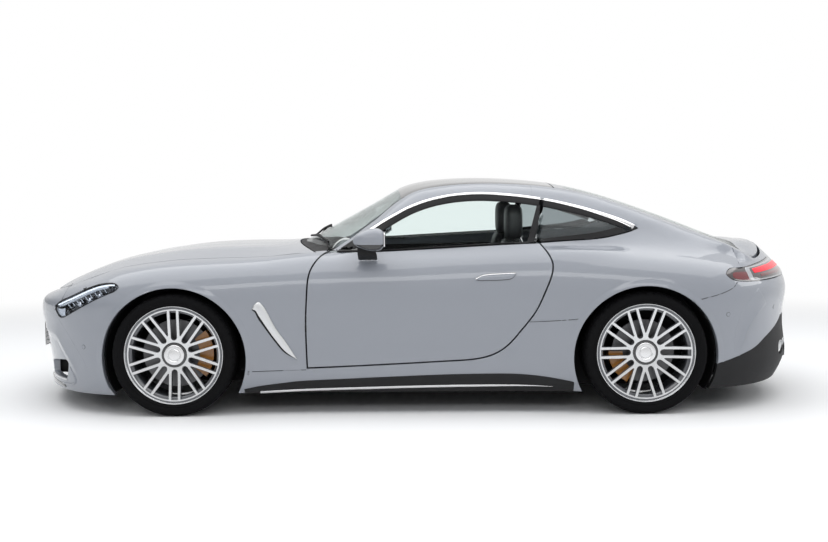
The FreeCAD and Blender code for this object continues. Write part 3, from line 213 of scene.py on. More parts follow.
finishes = {
    "paint": paintFinish(),
    "black_gloss": glossFinish("blackGloss", (0.012, 0.012, 0.014, 1), 0.08, 1.0),
    "black_plastic": plasticFinish("blackPlastic", (0.012, 0.012, 0.013, 1), shine=0.25),
    "chassis": plasticFinish("underTray", (0.012, 0.012, 0.013, 1), 0.6, shine=0.15),
    "engine": metalFinish("castEngine", (0.3, 0.3, 0.31, 1), 0.45),
    "bright": metalFinish("brightMetal", (0.82, 0.82, 0.83, 1), 0.10),
    "lamp_clear": glassFinish("lampLens", (0.95, 0.97, 1.0, 1), 0.02),
    "lamp_red": glossFinish("redLens", (0.25, 0.01, 0.015, 1), 0.05, 1.0),
    "glass": glassFinish("windowGlass", (0.955, 0.985, 0.98, 1), 0.02),
    "privacy": glassFinish("privacyGlass", (0.80, 0.84, 0.85, 1), 0.22, veil=0.22),
    "leather": plasticFinish("blackLeather", (0.032, 0.032, 0.034, 1), 0.42, 700),
    "trim": plasticFinish("cabinTrim", (0.02, 0.02, 0.021, 1), 0.5),
    "caliper": glossFinish("bronzePaint", (0.50, 0.205, 0.035, 1), 0.25, 0.6),
    "tyre": plasticFinish("rubber", (0.005, 0.005, 0.0055, 1), 0.75, 600, 0.08),
    "alloy": metalFinish("machinedAlloy", (0.72, 0.73, 0.74, 1), 0.22),
    "disc": metalFinish("brakeIron", (0.14, 0.14, 0.145, 1), 0.35),
    "rimGrey": glossFinish("rimGrey", (0.115, 0.12, 0.135, 1), 0.25, 0.8),
    "capMetal": metalFinish("capMetal", (0.80, 0.80, 0.81, 1), 0.2, (40, 1, 40)),
    "chrome": metalFinish("windowChrome", (0.86, 0.86, 0.87, 1), 0.06, (3, 3, 3), 0.03),
    "satin": metalFinish("satinFin", (0.70, 0.71, 0.72, 1), 0.30, (2, 2, 60), 0.06),
    "lampWhite": glossFinish("lampWhite", (0.80, 0.82, 0.84, 1), 0.15, 0.8),
    "lightWhite": glowFinish("lightWhite", (0.92, 0.96, 1.0, 1), 0.9),
    "lightRed": glowFinish("lightRed", (0.80, 0.012, 0.03, 1), 0.55),
    "darkRed": glossFinish("darkRed", (0.16, 0.008, 0.014, 1), 0.10, 1.0),
    "smoked": glossFinish("smokedLens", (0.055, 0.045, 0.048, 1), 0.06, 1.0),
    "bezel": glossFinish("lampBezel", (0.42, 0.43, 0.45, 1), 0.2, 0.8),
    "seal": plasticFinish("sealRubber", (0.008, 0.008, 0.009, 1), 0.5, 900, 0.25),
}
slotOf = {row["node"]: row["material_slot"] for row in frame["record"]["subparts"]}


# nodes whose inner faces are lined: which way their outer faces look
linedNodes = {"roof_panel": "up", "tailgate": "up", "roof_rails": "side", "rear_quarters": "side",
              "front_wings": "side", "rear_panel": "tail", "rear_bumper": "tail"}


def facesIn(name, face):
    spot, normal = face.calc_center_median(), face.normal
    outward = {"up": Vector((0, 0, 1)), "side": Vector((0, math.copysign(1, spot.y), 0.45)),
               "tail": Vector((-1, spot.y * 1.2, 0.3))}[linedNodes[name]]
    return normal.dot(outward.normalized()) < -0.25


def dressed(name, sharp=32):
    # a carried-over piece: the CAD solid's own surface, joined, smoothed and finished
    mesh = nodes[name].data.copy()
    mesh.name = name + "Skin"
    bm = bmesh.new()
    bm.from_mesh(mesh)
    bmesh.ops.remove_doubles(bm, verts=bm.verts, dist=0.00002)
    bmesh.ops.dissolve_degenerate(bm, edges=bm.edges, dist=0.00001)
    for face in bm.faces:
        face.smooth = True
        face.material_index = 1 if name in linedNodes and facesIn(name, face) else 0
    for edge in bm.edges:
        edge.smooth = not (len(edge.link_faces) == 2 and edge.calc_face_angle(0) > math.radians(sharp))
    bm.to_mesh(mesh)
    bm.free()
    mesh.materials.clear()
    mesh.materials.append(finishes[slotOf[name]])
    if name in linedNodes:
        mesh.materials.append(finishes["trim"])
    piece = bpy.data.objects.new(name + "_skin", mesh)
    bpy.context.scene.collection.objects.link(piece)
    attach(piece, bodyOf[name])
    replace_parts(piece, name)
    return piece


def grown(name, bm, body, looks, sharp=30, replaced=(), turned=True):
    # finish a bmesh: outward faces, soft shading with sharp creases, a body to ride on
    if turned:
        bmesh.ops.recalc_face_normals(bm, faces=bm.faces)
    for face in bm.faces:
        face.smooth = True
    for edge in bm.edges:
        edge.smooth = not (len(edge.link_faces) == 2 and edge.calc_face_angle(0) > math.radians(sharp))
    mesh = bpy.data.meshes.new(name)
    bm.to_mesh(mesh)
    bm.free()
    for look in looks:
        mesh.materials.append(finishes[look] if isinstance(look, str) else look)
    piece = bpy.data.objects.new(name, mesh)
    bpy.context.scene.collection.objects.link(piece)
    if body:
        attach(piece, body)
    if replaced:
        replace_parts(piece, *replaced)
    return piece


def spun(bm, profile, steps, closed=True):
    # turn a profile of (radius, outward) points about the wheel's axle, +Y
    points = [bm.verts.new((radius, out, 0)) for radius, out in profile]
    ring = points + points[:1] if closed else points
    edges = [bm.edges.new(pair) for pair in zip(ring, ring[1:])]
    made = bmesh.ops.spin(bm, geom=points + edges, cent=(0, 0, 0), axis=(0, 1, 0), angle=2 * math.pi,
                          steps=steps, use_merge=True)
    bmesh.ops.remove_doubles(bm, verts=bm.verts, dist=1e-6)
    return made


def baked(piece):
    # apply a piece's modifiers and keep one plain mesh
    tree = bpy.context.evaluated_depsgraph_get()
    mesh = bpy.data.meshes.new_from_object(piece.evaluated_get(tree))
    bm = bmesh.new()
    bm.from_mesh(mesh)
    bpy.data.objects.remove(piece)
    return bm


def placed(bm, middle, turn, side):
    # set a wheel part made about the origin onto its hub; the right side is the mirror image
    bmesh.ops.rotate(bm, verts=bm.verts, cent=(0, 0, 0), matrix=Matrix.Rotation(turn, 3, "Y"))
    if side < 0:
        bmesh.ops.scale(bm, verts=bm.verts, vec=(1, -1, 1))
        bmesh.ops.reverse_faces(bm, faces=bm.faces)
    bmesh.ops.translate(bm, verts=bm.verts, vec=middle)


rimLook = {"pairs": 10, "halfGap": 0.020, "barWidth": 0.012, "slotIn": 0.081, "slotOut": 0.259,
           "draft": 0.0055,
           "steps": 120,
           "cut": (0.150, 0.040), "wedgeAt": 0.19, "wedgeReach": 0.035}


def slotCutter(bm, start, end, halfWidth, turn, front, back, draft):
    # a long hole with a rounded inner end, narrowing to the back
    across = [(halfWidth, end), (halfWidth, start + halfWidth)]
    for step in range(1, 8):
        angle = math.pi * step / 8
        across.append((halfWidth * math.cos(angle), start + halfWidth * (1 - math.sin(angle))))
    across += [(-halfWidth, start + halfWidth), (-halfWidth, end)]
    cutPrism(bm, across, turn, front, back, draft, (0, (start + end) / 2), halfWidth)


def cutPrism(bm, across, turn, front, back, draft, centre, reach):
    spin = Matrix.Rotation(turn, 4, "Y")
    corners = [bm.verts.new(spin @ Vector((x, front, z))) for x, z in across]
    face = bm.faces.new(corners)
    far = bmesh.ops.extrude_face_region(bm, geom=[face])["geom"]
    moved = [v for v in far if isinstance(v, bmesh.types.BMVert)]
    bmesh.ops.translate(bm, verts=moved, vec=(0, back - front, 0))
    middle = spin @ Vector((centre[0], back, centre[1]))
    inward = spin.inverted().to_3x3()
    for vert in moved:
        local = inward @ (vert.co - middle)
        shrink = 1 - draft / reach
        vert.co = middle + spin.to_3x3() @ Vector((local.x * shrink, 0, local.z * (1 - draft / 0.085)))


def rimBlank():
    look = rimLook
    bm = bmesh.new()
    spun(bm, [(0.058, 0.1000), (0.076, 0.1020), (0.100, 0.1035), (0.150, 0.1080), (0.200, 0.1150),
              (0.245, 0.1225),
              (0.266, 0.1245), (0.266, 0.1000), (0.245, 0.0960), (0.200, 0.0900), (0.150, 0.0800),
              (0.100, 0.0700),
              (0.076, 0.0600), (0.058, 0.0600)], look["steps"])
    bmesh.ops.recalc_face_normals(bm, faces=bm.faces)
    star = grown("rimStar", bm, None, [])
    cut = bmesh.new()
    step = 2 * math.pi / look["pairs"]
    side = look["halfGap"] + look["barWidth"]
    for pair in range(look["pairs"]):
        slotCutter(cut, look["slotIn"], look["slotOut"], look["halfGap"], pair * step, *look["cut"],
                   look["draft"])
        # the wedge between two pairs: its sides run along the spokes on either hand
        half = step / 2
        near = side / math.sin(half)
        bends = (0.5, math.pi / 2, math.pi - 0.5)
        across = [(0.004 * math.cos(a), near + 0.012 - 0.004 * math.sin(a)) for a in bends]
        limit = half - math.asin(side / look["slotOut"])
        arc = [(look["slotOut"] * math.sin(limit * s), look["slotOut"] * math.cos(limit * s))
               for s in (-1, -0.6, -0.2, 0.2, 0.6, 1)]
        cutPrism(cut, across + arc, (pair + 0.5) * step, *look["cut"], look["draft"], (0, look["wedgeAt"]),
                 look["wedgeReach"])
    bmesh.ops.recalc_face_normals(cut, faces=cut.faces)
    tool = grown("rimCutter", cut, None, [])
    holes = star.modifiers.new("holes", "BOOLEAN")
    holes.operation, holes.solver, holes.object = "DIFFERENCE", "EXACT", tool
    bm = baked(star)
    bpy.data.objects.remove(tool)
    bmesh.ops.remove_doubles(bm, verts=bm.verts, dist=2e-5)
    for face in bm.faces:
        face.material_index = 0 if face.normal.y > 0.9 else 1
    rims = [e for e in bm.edges if len(e.link_faces) == 2 and e.calc_face_angle(0) > 0.8
            and max(f.normal.y for f in e.link_faces) > 0.9]
    bmesh.ops.bevel(bm, geom=rims, offset=0.0009, offset_type="OFFSET", segments=1, profile=0.5, material=1,
                    affect="EDGES", clamp_overlap=True)
    return bm


def rimBarrel(bm):
    # flange, band, drop centre and inner flange, as one turned ring
    spun(bm, [(0.2840, 0.1180), (0.2840, 0.1262), (0.2822, 0.1290), (0.2790, 0.1290), (0.2770, 0.1262),
              (0.2745, 0.1230), (0.2620, 0.1222), (0.2600, 0.1200), (0.2590, 0.1080), (0.2480, 0.1020),
              (0.2445, 0.1010), (0.2430, 0.0980), (0.2430, 0.0200), (0.2520, 0.0000), (0.2560, -0.1000),
              (0.2740, -0.1240), (0.2790, -0.1290), (0.2840, -0.1262), (0.2840, -0.1180), (0.2700, -0.1120),
              (0.2620, -0.0800), (0.2500, 0.0200), (0.2600, 0.0600), (0.2680, 0.1100)], rimLook["steps"])


def centreCap(bm):
    spun(bm, [(0.0000, 0.1150), (0.0160, 0.1145), (0.0300, 0.1125), (0.0330, 0.1095), (0.0360, 0.1095),
              (0.0390, 0.1120), (0.0520, 0.1128), (0.0570, 0.1110), (0.0590, 0.1060), (0.0590, 0.0980),
              (0.0000, 0.0980)], 72, closed=False)


tyreLook = {"half": 0.145, "steps": 144}


def tyreMesh():
    half = tyreLook["half"]
    side = [(0.2846, 0.1180), (0.2846, 0.1265), (0.2880, 0.1325), (0.2925, 0.1370), (0.2950, 0.1392),
            (0.2985, 0.1392), (0.3000, 0.1378), (0.3050, 0.1402), (0.3090, 0.1418), (0.3110, 0.1430),
            (0.3200, 0.1446), (0.3270, half), (0.3330, 0.1440), (0.3345, 0.1425), (0.3365, 0.1420),
            (0.3400, 0.1390), (0.3455, 0.1320), (0.3490, 0.1240)]
    tread = []
    for start, end in ((0.1160, 0.0880), (0.0760, 0.0420), (0.0300, 0.0)):
        tread += [(0.3445, start), (0.3510, start - 0.0015), (0.3516, end + 0.0015), (0.3445, end)]
    tread = [(0.3508, 0.1160)] + tread[2:-2] + [(0.3518, 0.0285)]
    outer = side + tread
    bm = bmesh.new()
    spun(bm, outer + [(radius, -out) for radius, out in outer[::-1]] + [(0.2700, -0.1100), (0.2700, 0.1100)],
         tyreLook["steps"])
    bmesh.ops.recalc_face_normals(bm, faces=bm.faces)
    blocks = []
    for face in bm.faces:
        spot = face.calc_center_median()
        reach = math.hypot(spot.x, spot.z)
        turn = math.atan2(spot.z, spot.x) / (2 * math.pi) * tyreLook["steps"]
        if 0.3370 < reach < 0.3505 and abs(spot.y) > 0.117 and math.floor(turn) % 3 == 0:
            blocks.append(face)
    bmesh.ops.inset_region(bm, faces=blocks, thickness=0.0010, depth=-0.0028, use_even_offset=True)
    return bm


def makeWheels():
    star, barrel, cap, rubber = rimBlank(), bmesh.new(), bmesh.new(), tyreMesh()
    rimBarrel(barrel)
    centreCap(cap)
    for bm in (barrel, cap):
        bmesh.ops.recalc_face_normals(bm, faces=bm.faces)
    for face in barrel.faces:
        spot = face.calc_center_median()
        face.material_index = 0 if math.hypot(spot.x, spot.z) > 0.2755 and spot.y > 0.12 else 1
        if 0.2425 < math.hypot(spot.x, spot.z) < 0.2450 and spot.y > 0.09:
            face.material_index = 0
    for corner, turn in (("front_left", 0), ("front_right", 0), ("rear_left", 18), ("rear_right", 18)):
        low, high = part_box(corner + "_tyre")
        middle, side = (low + high) / 2, 1 if "left" in corner else -1
        body, spin = corner + "_wheel", math.radians(turn)
        for name, source, looks, slotName, stood in (
                ("spokes", star, ["alloy", "rimGrey"], "alloy", [corner + "_rim"]),
                ("barrel", barrel, ["alloy", "rimGrey"], "alloy", []),
                ("cap", cap, ["capMetal"], "alloy", []),
                ("rubber", rubber, ["tyre"], "tyre", [corner + "_tyre"])):
            bm = source.copy()
            placed(bm, middle, spin, side)
            grown(corner + "_" + name, bm, body, looks, 28, stood, turned=False)
        ring = bmesh.new()
        spun(ring, [(0.0590, 0.0985), (0.0725, 0.0985), (0.0725, 0.1035), (0.0700, 0.1045),
                    (0.0600, 0.1035)], 72)
        bmesh.ops.recalc_face_normals(ring, faces=ring.faces)
        placed(ring, middle, 0, side)
        grown(corner + "_cap_ring", ring, body, ["black_gloss"], 30, turned=False)
    for bm in (star, barrel, cap, rubber):
        bm.free()


makeWheels()
print("wheels made")


class Skin:
    # the outer surface of some CAD nodes, met by straight lines from outside
    def __init__(self, names):
        bm = bmesh.new()
        for name in names:
            bm.from_mesh(nodes[name].data)
        self.tree = BVHTree.FromBMesh(bm)
        bm.free()

    def meet(self, start, heading):
        spot, normal = self.tree.ray_cast(Vector(start), Vector(heading))[:2]
        if spot is None:
            nearest, normal = self.tree.find_nearest(Vector(start) + Vector(heading) * 1.2)[:2]
            axis = max(range(3), key=lambda i: abs(heading[i]))
            spot = nearest
            if abs(heading[axis]) > 0.99:
                spot = Vector(start)
                spot[axis] = nearest[axis]
        if normal.dot(Vector(heading)) > 0:
            normal = -normal
        return spot, normal

    def side(self, x, z):
        return self.meet((x / 1000, 1.6, z / 1000), (0, -1, 0))

    def rim(self, x, z):
        # the same, read a little lower and carried up along the skin, for the edge of an opening
        spot, normal = self.side(x, z - 16)
        slope = (normal.x * (x / 1000 - spot.x) + normal.z * (z / 1000 - spot.z)) / max(normal.y, 0.5)
        y = spot.y - max(-0.02, min(0.02, slope))
        return Vector((x / 1000, y, z / 1000)), normal

    def top(self, x, y):
        return self.meet((x / 1000, y / 1000, 2.0), (0, 0, -1))

    def nose(self, y, z):
        return self.meet((3.2, y / 1000, z / 1000), (-1, 0, 0))

    def tail(self, y, z):
        return self.meet((-3.2, y / 1000, z / 1000), (1, 0, 0))


outerNames = ["front_bumper", "front_wings", "headlamps", "bonnet", "left_door", "roof_rails",
              "rear_quarters",
              "rear_bumper", "rear_panel", "rear_diffuser", "side_sills", "tail_lamps", "tailgate",
              "rear_glass",
              "roof_panel", "windscreen", "cowl_panel"]
outer = Skin(outerNames)
glazing = Skin(["left_door_glass", "quarter_windows"])


def smoothRun(points, count):
    # evenly spaced points on a smooth line through the given ones
    knots = [Vector(p) for p in points]
    knots = [2 * knots[0] - knots[1]] + knots + [2 * knots[-1] - knots[-2]]
    dense = []
    for a, b, c, d in zip(knots, knots[1:], knots[2:], knots[3:]):
        for step in range(24):
            t = step / 24
            dense.append(0.5 * (2 * b + (c - a) * t + (2 * a - 5 * b + 4 * c - d) * t * t
                                + (3 * b - a - 3 * c + d) * t ** 3))
    dense.append(knots[-2])
    reach = [0.0]
    for a, b in zip(dense, dense[1:]):
        reach.append(reach[-1] + (b - a).length)
    made, i = [], 0
    for step in range(count):
        goal = reach[-1] * step / (count - 1)
        while i < len(dense) - 2 and reach[i + 1] < goal:
            i += 1
        share = (goal - reach[i]) / max(reach[i + 1] - reach[i], 1e-9)
        made.append(dense[i].lerp(dense[i + 1], min(share, 1)))
    return made


def shifted(run, amount):
    # a copy of a run moved to its left hand by amount(share along it)
    made = []
    for i, point in enumerate(run):
        along = (run[min(i + 1, len(run) - 1)] - run[max(i - 1, 0)]).normalized()
        made.append(point + Vector((-along.y, along.x)) * amount(i / (len(run) - 1)))
    return made


def between(first, second):
    # a place for each share along two runs and each share across from one to the other
    def spot(u, v):
        reach = u * (len(first) - 1)
        i = min(int(reach), len(first) - 2)
        return (first[i].lerp(first[i + 1], reach - i)).lerp(second[i].lerp(second[i + 1], reach - i), v)
    return spot


def slab(spot, cast, segments, rows, lift, depth, crown=0.0):
    # a grid laid on the skin, stood out by lift and given a depth inwards; crown raises its middle
    bm = bmesh.new()
    bmesh.ops.create_grid(bm, x_segments=segments, y_segments=rows, size=1)
    inward = {}
    for vert in bm.verts:
        u, v = (vert.co.x + 1) / 2, (vert.co.y + 1) / 2
        place, normal = cast(*spot(u, v))
        rise = lift(u, v) if callable(lift) else lift
        rise += crown * math.sin(math.pi * v) * math.sin(math.pi * min(1, max(0, u))) ** 0.3
        vert.co = place + normal * rise
        inward[tuple(round(c, 7) for c in vert.co)] = normal
    made = bmesh.ops.extrude_face_region(bm, geom=bm.faces[:])["geom"]
    for vert in (v for v in made if isinstance(v, bmesh.types.BMVert)):
        vert.co -= inward[tuple(round(c, 7) for c in vert.co)] * depth
    bmesh.ops.remove_doubles(bm, verts=bm.verts, dist=1e-6)
    bmesh.ops.dissolve_degenerate(bm, edges=bm.edges, dist=1e-6)
    bmesh.ops.recalc_face_normals(bm, faces=bm.faces)
    return bm


def softened(bm, width, angle=50, segments=2):
    edges = [e for e in bm.edges if len(e.link_faces) == 2 and e.calc_face_angle(0) > math.radians(angle)]
    bmesh.ops.bevel(bm, geom=edges, offset=width, offset_type="OFFSET", segments=segments, profile=0.5,
                    material=-1,
                    affect="EDGES", clamp_overlap=True)
    return bm


def withMirror(bm):
    # add the car's other side
    copy = bmesh.ops.duplicate(bm, geom=bm.verts[:] + bm.edges[:] + bm.faces[:])["geom"]
    bmesh.ops.scale(bm, verts=[v for v in copy if isinstance(v, bmesh.types.BMVert)], vec=(1, -1, 1))
    bmesh.ops.reverse_faces(bm, faces=[f for f in copy if isinstance(f, bmesh.types.BMFace)])
    return bm


def onDoors(name, bm, looks, replaced=None, sharp=30):
    # one piece on each door, the right one the left one's mirror image
    for side, factor in (("left", 1), ("right", -1)):
        copy = bm.copy()
        if factor < 0:
            bmesh.ops.scale(copy, verts=copy.verts, vec=(1, -1, 1))
            bmesh.ops.reverse_faces(copy, faces=copy.faces)
        stood = [side + "_" + replaced] if replaced else []
        grown(side + "_" + name, copy, side + "_door", looks, sharp, stood, turned=False)
    bm.free()


def onBody(name, bm, looks, replaced=(), sharp=30, body="body"):
    grown(name, withMirror(bm), body, looks, sharp, replaced, turned=False)


def domed(place, heading, radius, rows):
    # a round lamp unit turned about its own axis: rows of (share of radius, height)
    turn = Vector((0, 1, 0)).rotation_difference(heading).to_matrix()
    made = bmesh.new()
    spun(made, [(radius * share, height) for share, height in rows], 36, closed=False)
    bmesh.ops.recalc_face_normals(made, faces=made.faces)
    bmesh.ops.rotate(made, verts=made.verts, cent=(0, 0, 0), matrix=turn)
    bmesh.ops.translate(made, verts=made.verts, vec=place)
    return made


def tube(path, radius, sides=8):
    # a thin round bar along a list of places, closed at both ends
    bm = bmesh.new()
    rings = []
    for i, place in enumerate(path):
        along = (path[min(i + 1, len(path) - 1)] - path[max(i - 1, 0)]).normalized()
        turn = Vector((0, 0, 1)).rotation_difference(along).to_matrix().to_4x4()
        made = bmesh.ops.create_circle(bm, cap_ends=False, segments=sides, radius=radius,
                                       matrix=Matrix.Translation(place) @ turn)
        ring = made["verts"]
        rings.append(sorted({e for v in ring for e in v.link_edges}, key=lambda e: e.index))
    for first, second in zip(rings, rings[1:]):
        bmesh.ops.bridge_loops(bm, edges=list(first) + list(second))
    bmesh.ops.holes_fill(bm, edges=rings[0] + rings[-1], sides=sides)
    bmesh.ops.recalc_face_normals(bm, faces=bm.faces)
    return bm


def rounded(low, high, power=5.0, cuts=8, warp=None):
    # a box between two corners, its faces swelling and its edges rounded; warp moves each point
    bm = bmesh.new()
    bmesh.ops.create_cube(bm, size=2)
    bmesh.ops.subdivide_edges(bm, edges=bm.edges[:], cuts=cuts, use_grid_fill=True)
    low, high = Vector(low), Vector(high)
    for vert in bm.verts:
        reach = sum(abs(c) ** power for c in vert.co) ** (1 / power)
        share = vert.co / reach
        vert.co = (low + high) / 2 + Vector(s * (h - l) / 2 for s, l, h in zip(share, low, high))
        if warp:
            vert.co = warp(vert.co.copy(), share)
    return bm


def joined(pieces):
    whole = bmesh.new()
    for bm in pieces:
        mesh = bpy.data.meshes.new("part")
        bm.to_mesh(mesh)
        bm.free()
        whole.from_mesh(mesh)
        bpy.data.meshes.remove(mesh)
    return whole


def single(name, bm, look, replaced=(), sharp=30, body="body"):
    grown(name, bm, body, [look], sharp, replaced)


def raised(run, height):
    return [point + Vector((0, height)) for point in run]


def straight(start, end, steps):
    return [Vector(a + (b - a) * i / steps for a, b in zip(start, end)) for i in range(steps + 1)]


# side windows: places along the car and up, in mm
windowLook = {
    "top": [(452, 927), (330, 1007), (230, 1071), (140, 1126), (23, 1188), (-94, 1229), (-212, 1253),
            (-331, 1264),
            (-449, 1264), (-626, 1250), (-802, 1223), (-979, 1183), (-1097, 1149), (-1214, 1110),
            (-1290, 1076),
            (-1325, 1053)],
    "belt": [(452, 927), (195, 930), (-36, 941), (-268, 953), (-500, 965), (-733, 974), (-850, 981),
             (-968, 987),
             (-1087, 995), (-1147, 1004), (-1208, 1017), (-1269, 1032), (-1325, 1053)],
    "chrome": 12, "chromeRear": 25, "wideFrom": 0.72, "cornerEnd": 10, "sealTo": 46, "glassFront": 198,
    "pillar": ((-657, 971), (-730, 1201)),
    "pillarRear": ((-694, 971), (-773, 1201)), "quarterEnd": -1235, "sailFront": 430, "beltSeal": 9,
    "doorEnd": -724}


def sideWindows():
    look = windowLook
    top, belt = smoothRun(look["top"], 140), smoothRun(look["belt"], 140)
    widening, front, wideFrom = look["chromeRear"] - look["chrome"], look["cornerEnd"], look["wideFrom"]
    wider = lambda s: widening * max(0, (s - wideFrom) / (1 - wideFrom)) ** 1.5
    inner = shifted(top, lambda s: look["chrome"] + wider(s))
    deep = shifted(top, lambda s: look["sealTo"] * min(1, 0.3 + s * 12))
    chrome = slab(between(top[front:-2], inner[front:-2]), glazing.rim, 128, 3, 0.0085, 0.014, 0.0012)
    onBody("window_chrome", softened(chrome, 0.001), ["chrome"])
    seal = slab(between(inner[:134], deep[:134]), glazing.rim, 130, 2, 0.0055, 0.009)
    onBody("window_seal", softened(seal, 0.001), ["seal"])
    corner = slab(between(top[:front + 1], inner[:front + 1]), glazing.rim, 10, 2, 0.0055, 0.009)
    onBody("window_corner", softened(corner, 0.001), ["seal"])

    def atX(run, x):
        for a, b in zip(run, run[1:]):
            if a.x >= x >= b.x:
                return a.lerp(b, (a.x - x) / max(a.x - b.x, 1e-9)).y
        return run[-1].y if x < run[-1].x else run[0].y

    def lean(line, z):
        (x0, z0), (x1, z1) = line
        return x0 + (x1 - x0) * (z - z0) / (z1 - z0)

    def pane(front, rear, foot=7.0, head=0.0):
        # between two sloping lines, the belt and the seal's lower edge
        def spot(u, v):
            z = 971 + 230 * v
            for _ in range(3):
                x = front(z) + (rear(z) - front(z)) * u
                low, high = atX(belt, x) + foot, atX(deep, x) - head
                z = low + (max(high, low + 1) - low) * v
            return Vector((x, z))
        return spot

    doorPane = slab(pane(lambda z: look["glassFront"], lambda z: lean(look["pillar"], z) + 3, head=2),
                    glazing.side, 60, 10, 0.0, 0.005)
    onDoors("pane", doorPane, ["glass"], "door_glass")
    sail = slab(pane(lambda z: look["sailFront"], lambda z: look["glassFront"] + 2, foot=2), glazing.side,
                20, 4,
                0.003, 0.008)
    onDoors("mirror_sail", softened(sail, 0.001), ["black_gloss"])
    pillar = slab(pane(lambda z: lean(look["pillar"], z), lambda z: lean(look["pillarRear"], z), foot=3,
                       head=-2),
                  glazing.side, 6, 12, 0.0045, 0.010)
    onBody("pillar_cover", softened(pillar, 0.0015), ["seal"])
    quarter = slab(pane(lambda z: lean(look["pillarRear"], z) - 2, lambda z: look["quarterEnd"], foot=5),
                   glazing.side, 40, 8, 0.001, 0.005)
    onBody("quarter_pane", quarter, ["privacy"], ["quarter_windows"])
    foot = [p + Vector((0, 4)) for p in belt if look["pillarRear"][0][0] - 6 > p.x > look["quarterEnd"] - 30]
    rise = [p + Vector((0, min(20 + 30 * (i / len(foot)) ** 1.5, max(2, atX(deep, p.x) - p.y - 6))))
            for i, p in enumerate(foot)]
    edge = slab(between(rise, foot), glazing.side, 50, 2, 0.0022, 0.002)
    onBody("quarter_border", edge, ["seal"])
    low = shifted(belt, lambda s: -look["beltSeal"])
    split = sum(p.x > look["doorEnd"] for p in belt)
    edge = slab(between(belt[:split], low[:split]), glazing.side, 80, 2, 0.0075, 0.008)
    onDoors("belt_seal", softened(edge, 0.001), ["seal"])
    edge = slab(between(belt[split:], low[split:]), glazing.side, 60, 2, 0.0075, 0.008)
    onBody("quarter_belt_seal", softened(edge, 0.001), ["seal"])


sideWindows()
print("side windows made")


# gill, handles and skirts, in mm along the car and up
flankLook = {
    "finFront": [(909, 640), (884, 658), (858, 634), (836, 598), (792, 510), (728, 416), (671, 323)],
    "finRear": [(921, 612), (903, 596), (889, 564), (847, 500), (793, 424), (741, 363), (671, 323)],
    "handleTop": [(-353, 780), (-390, 799), (-436, 806), (-493, 809), (-560, 812), (-580, 813)],
    "handleLow": [(-353, 778), (-379, 772), (-464, 773), (-530, 776), (-562, 784), (-584, 807)],
    "skirtTop": [(976, 152), (878, 171), (764, 185), (649, 197), (419, 207), (190, 217), (-155, 230),
                 (-384, 234),
                 (-556, 234), (-671, 227), (-785, 212), (-916, 187)],
    "skirtFoot": 127, "finShare": 0.80, "handleGap": 2.5, "bladeWidth": 5,
    "strip": [(886, 142), (651, 152), (363, 160), (75, 167), (-213, 172), (-501, 173), (-673, 170),
              (-804, 162)],
    "stripWidth": 13}


def flanks():
    look = flankLook
    front, rear = smoothRun(look["finFront"], 50), smoothRun(look["finRear"], 50)
    # a dark patch over the whole gill, painted shade for its hollow; the fin covers most of it
    hollow = slab(between(front, rear), outer.side, 48, 6, 0.0012, 0.006)
    onBody("gill_hollow_shade", hollow, ["seal"])
    behind = [a.lerp(b, look["finShare"]) for a, b in zip(front, rear)]
    fin = slab(between(front, behind), outer.side, 48, 6, 0.006, 0.005, 0.004)
    onBody("gill_fin", softened(fin, 0.0015), ["satin"])
    up, down = smoothRun(look["handleTop"], 30), smoothRun(look["handleLow"], 30)
    gap = between(raised(up, look["handleGap"]), raised(down, -look["handleGap"]))
    onDoors("handle_gap", slab(gap, outer.side, 28, 4, 0.0008, 0.004), ["seal"])
    grip = slab(between(up, down), outer.side, 28, 6, 0.0045, 0.004, 0.003)
    onDoors("handle", softened(grip, 0.0015), ["paint"])
    blade = slab(between(up, raised(up, -look["bladeWidth"])), outer.side, 28, 2, 0.0065, 0.004)
    onDoors("handle_blade", softened(blade, 0.0008), ["chrome"])
    top = smoothRun(look["skirtTop"], 90)
    foot = [Vector((p.x, look["skirtFoot"])) for p in top]
    skirt = slab(between(top, foot), outer.side, 88, 6, 0.003, 0.006)
    onBody("skirt", softened(skirt, 0.001), ["black_plastic"])
    top = smoothRun(look["strip"], 80)
    low = [p - Vector((0, look["stripWidth"] * (1 - (i / 79) ** 8))) for i, p in enumerate(top)]
    strip = slab(between(top, low), outer.side, 78, 3, 0.0095, 0.010, 0.001)
    onBody("skirt_strip", softened(strip, 0.001), ["chrome"])


flanks()
print("flanks trimmed")


# a clear lens over a dark housing with projectors and light guides
headlampLook = {
    "top": [(2106, 618), (2076, 641), (2035, 663), (1989, 682), (1923, 712), (1862, 738), (1802, 757),
            (1736, 766),
            (1700, 762), (1682, 750)],
    "low": [(2104, 604), (2090, 578), (2070, 559), (2039, 558), (2000, 577), (1949, 604), (1881, 640),
            (1817, 672),
            (1756, 699), (1700, 722)],
    "depth": 0.045, "projectors": ((0.42, 0.60, 0.019), (0.58, 0.62, 0.019), (0.73, 0.60, 0.016)),
    "unitSink": 0.034, "heading": (0.62, 0.76, 0.12),
    "unitRows": ((0.0, 0.014), (0.35, 0.0125), (0.65, 0.008), (0.80, 0.002), (0.84, 0.002), (0.88, 0.010),
                 (1.0, 0.010), (1.0, -0.010), (0.0, -0.010)),
    "facet": (0.03, 0.08, 0.14, 0.20), "facetRows": (0.50, 0.96),
    # light guides: name, share down the lamp, start and end along it, radius, finish
    "guides": (("headlamp_guide", 0.10, 0.05, 0.93, 0.0045, "lightWhite"),
               ("headlamp_brow", 0.26, 0.10, 0.86, 0.0075, "lampWhite")),
    "guideSink": 0.010, "fins": 9, "finFrom": 0.24, "finStep": 0.07, "finRadius": 0.003,
    # rims: name, edge, and how far it reaches down and up
    "rims": (("headlamp_rim_top", "top", -1.5, 3.5), ("headlamp_rim_low", "low", -3.0, 1.5))}


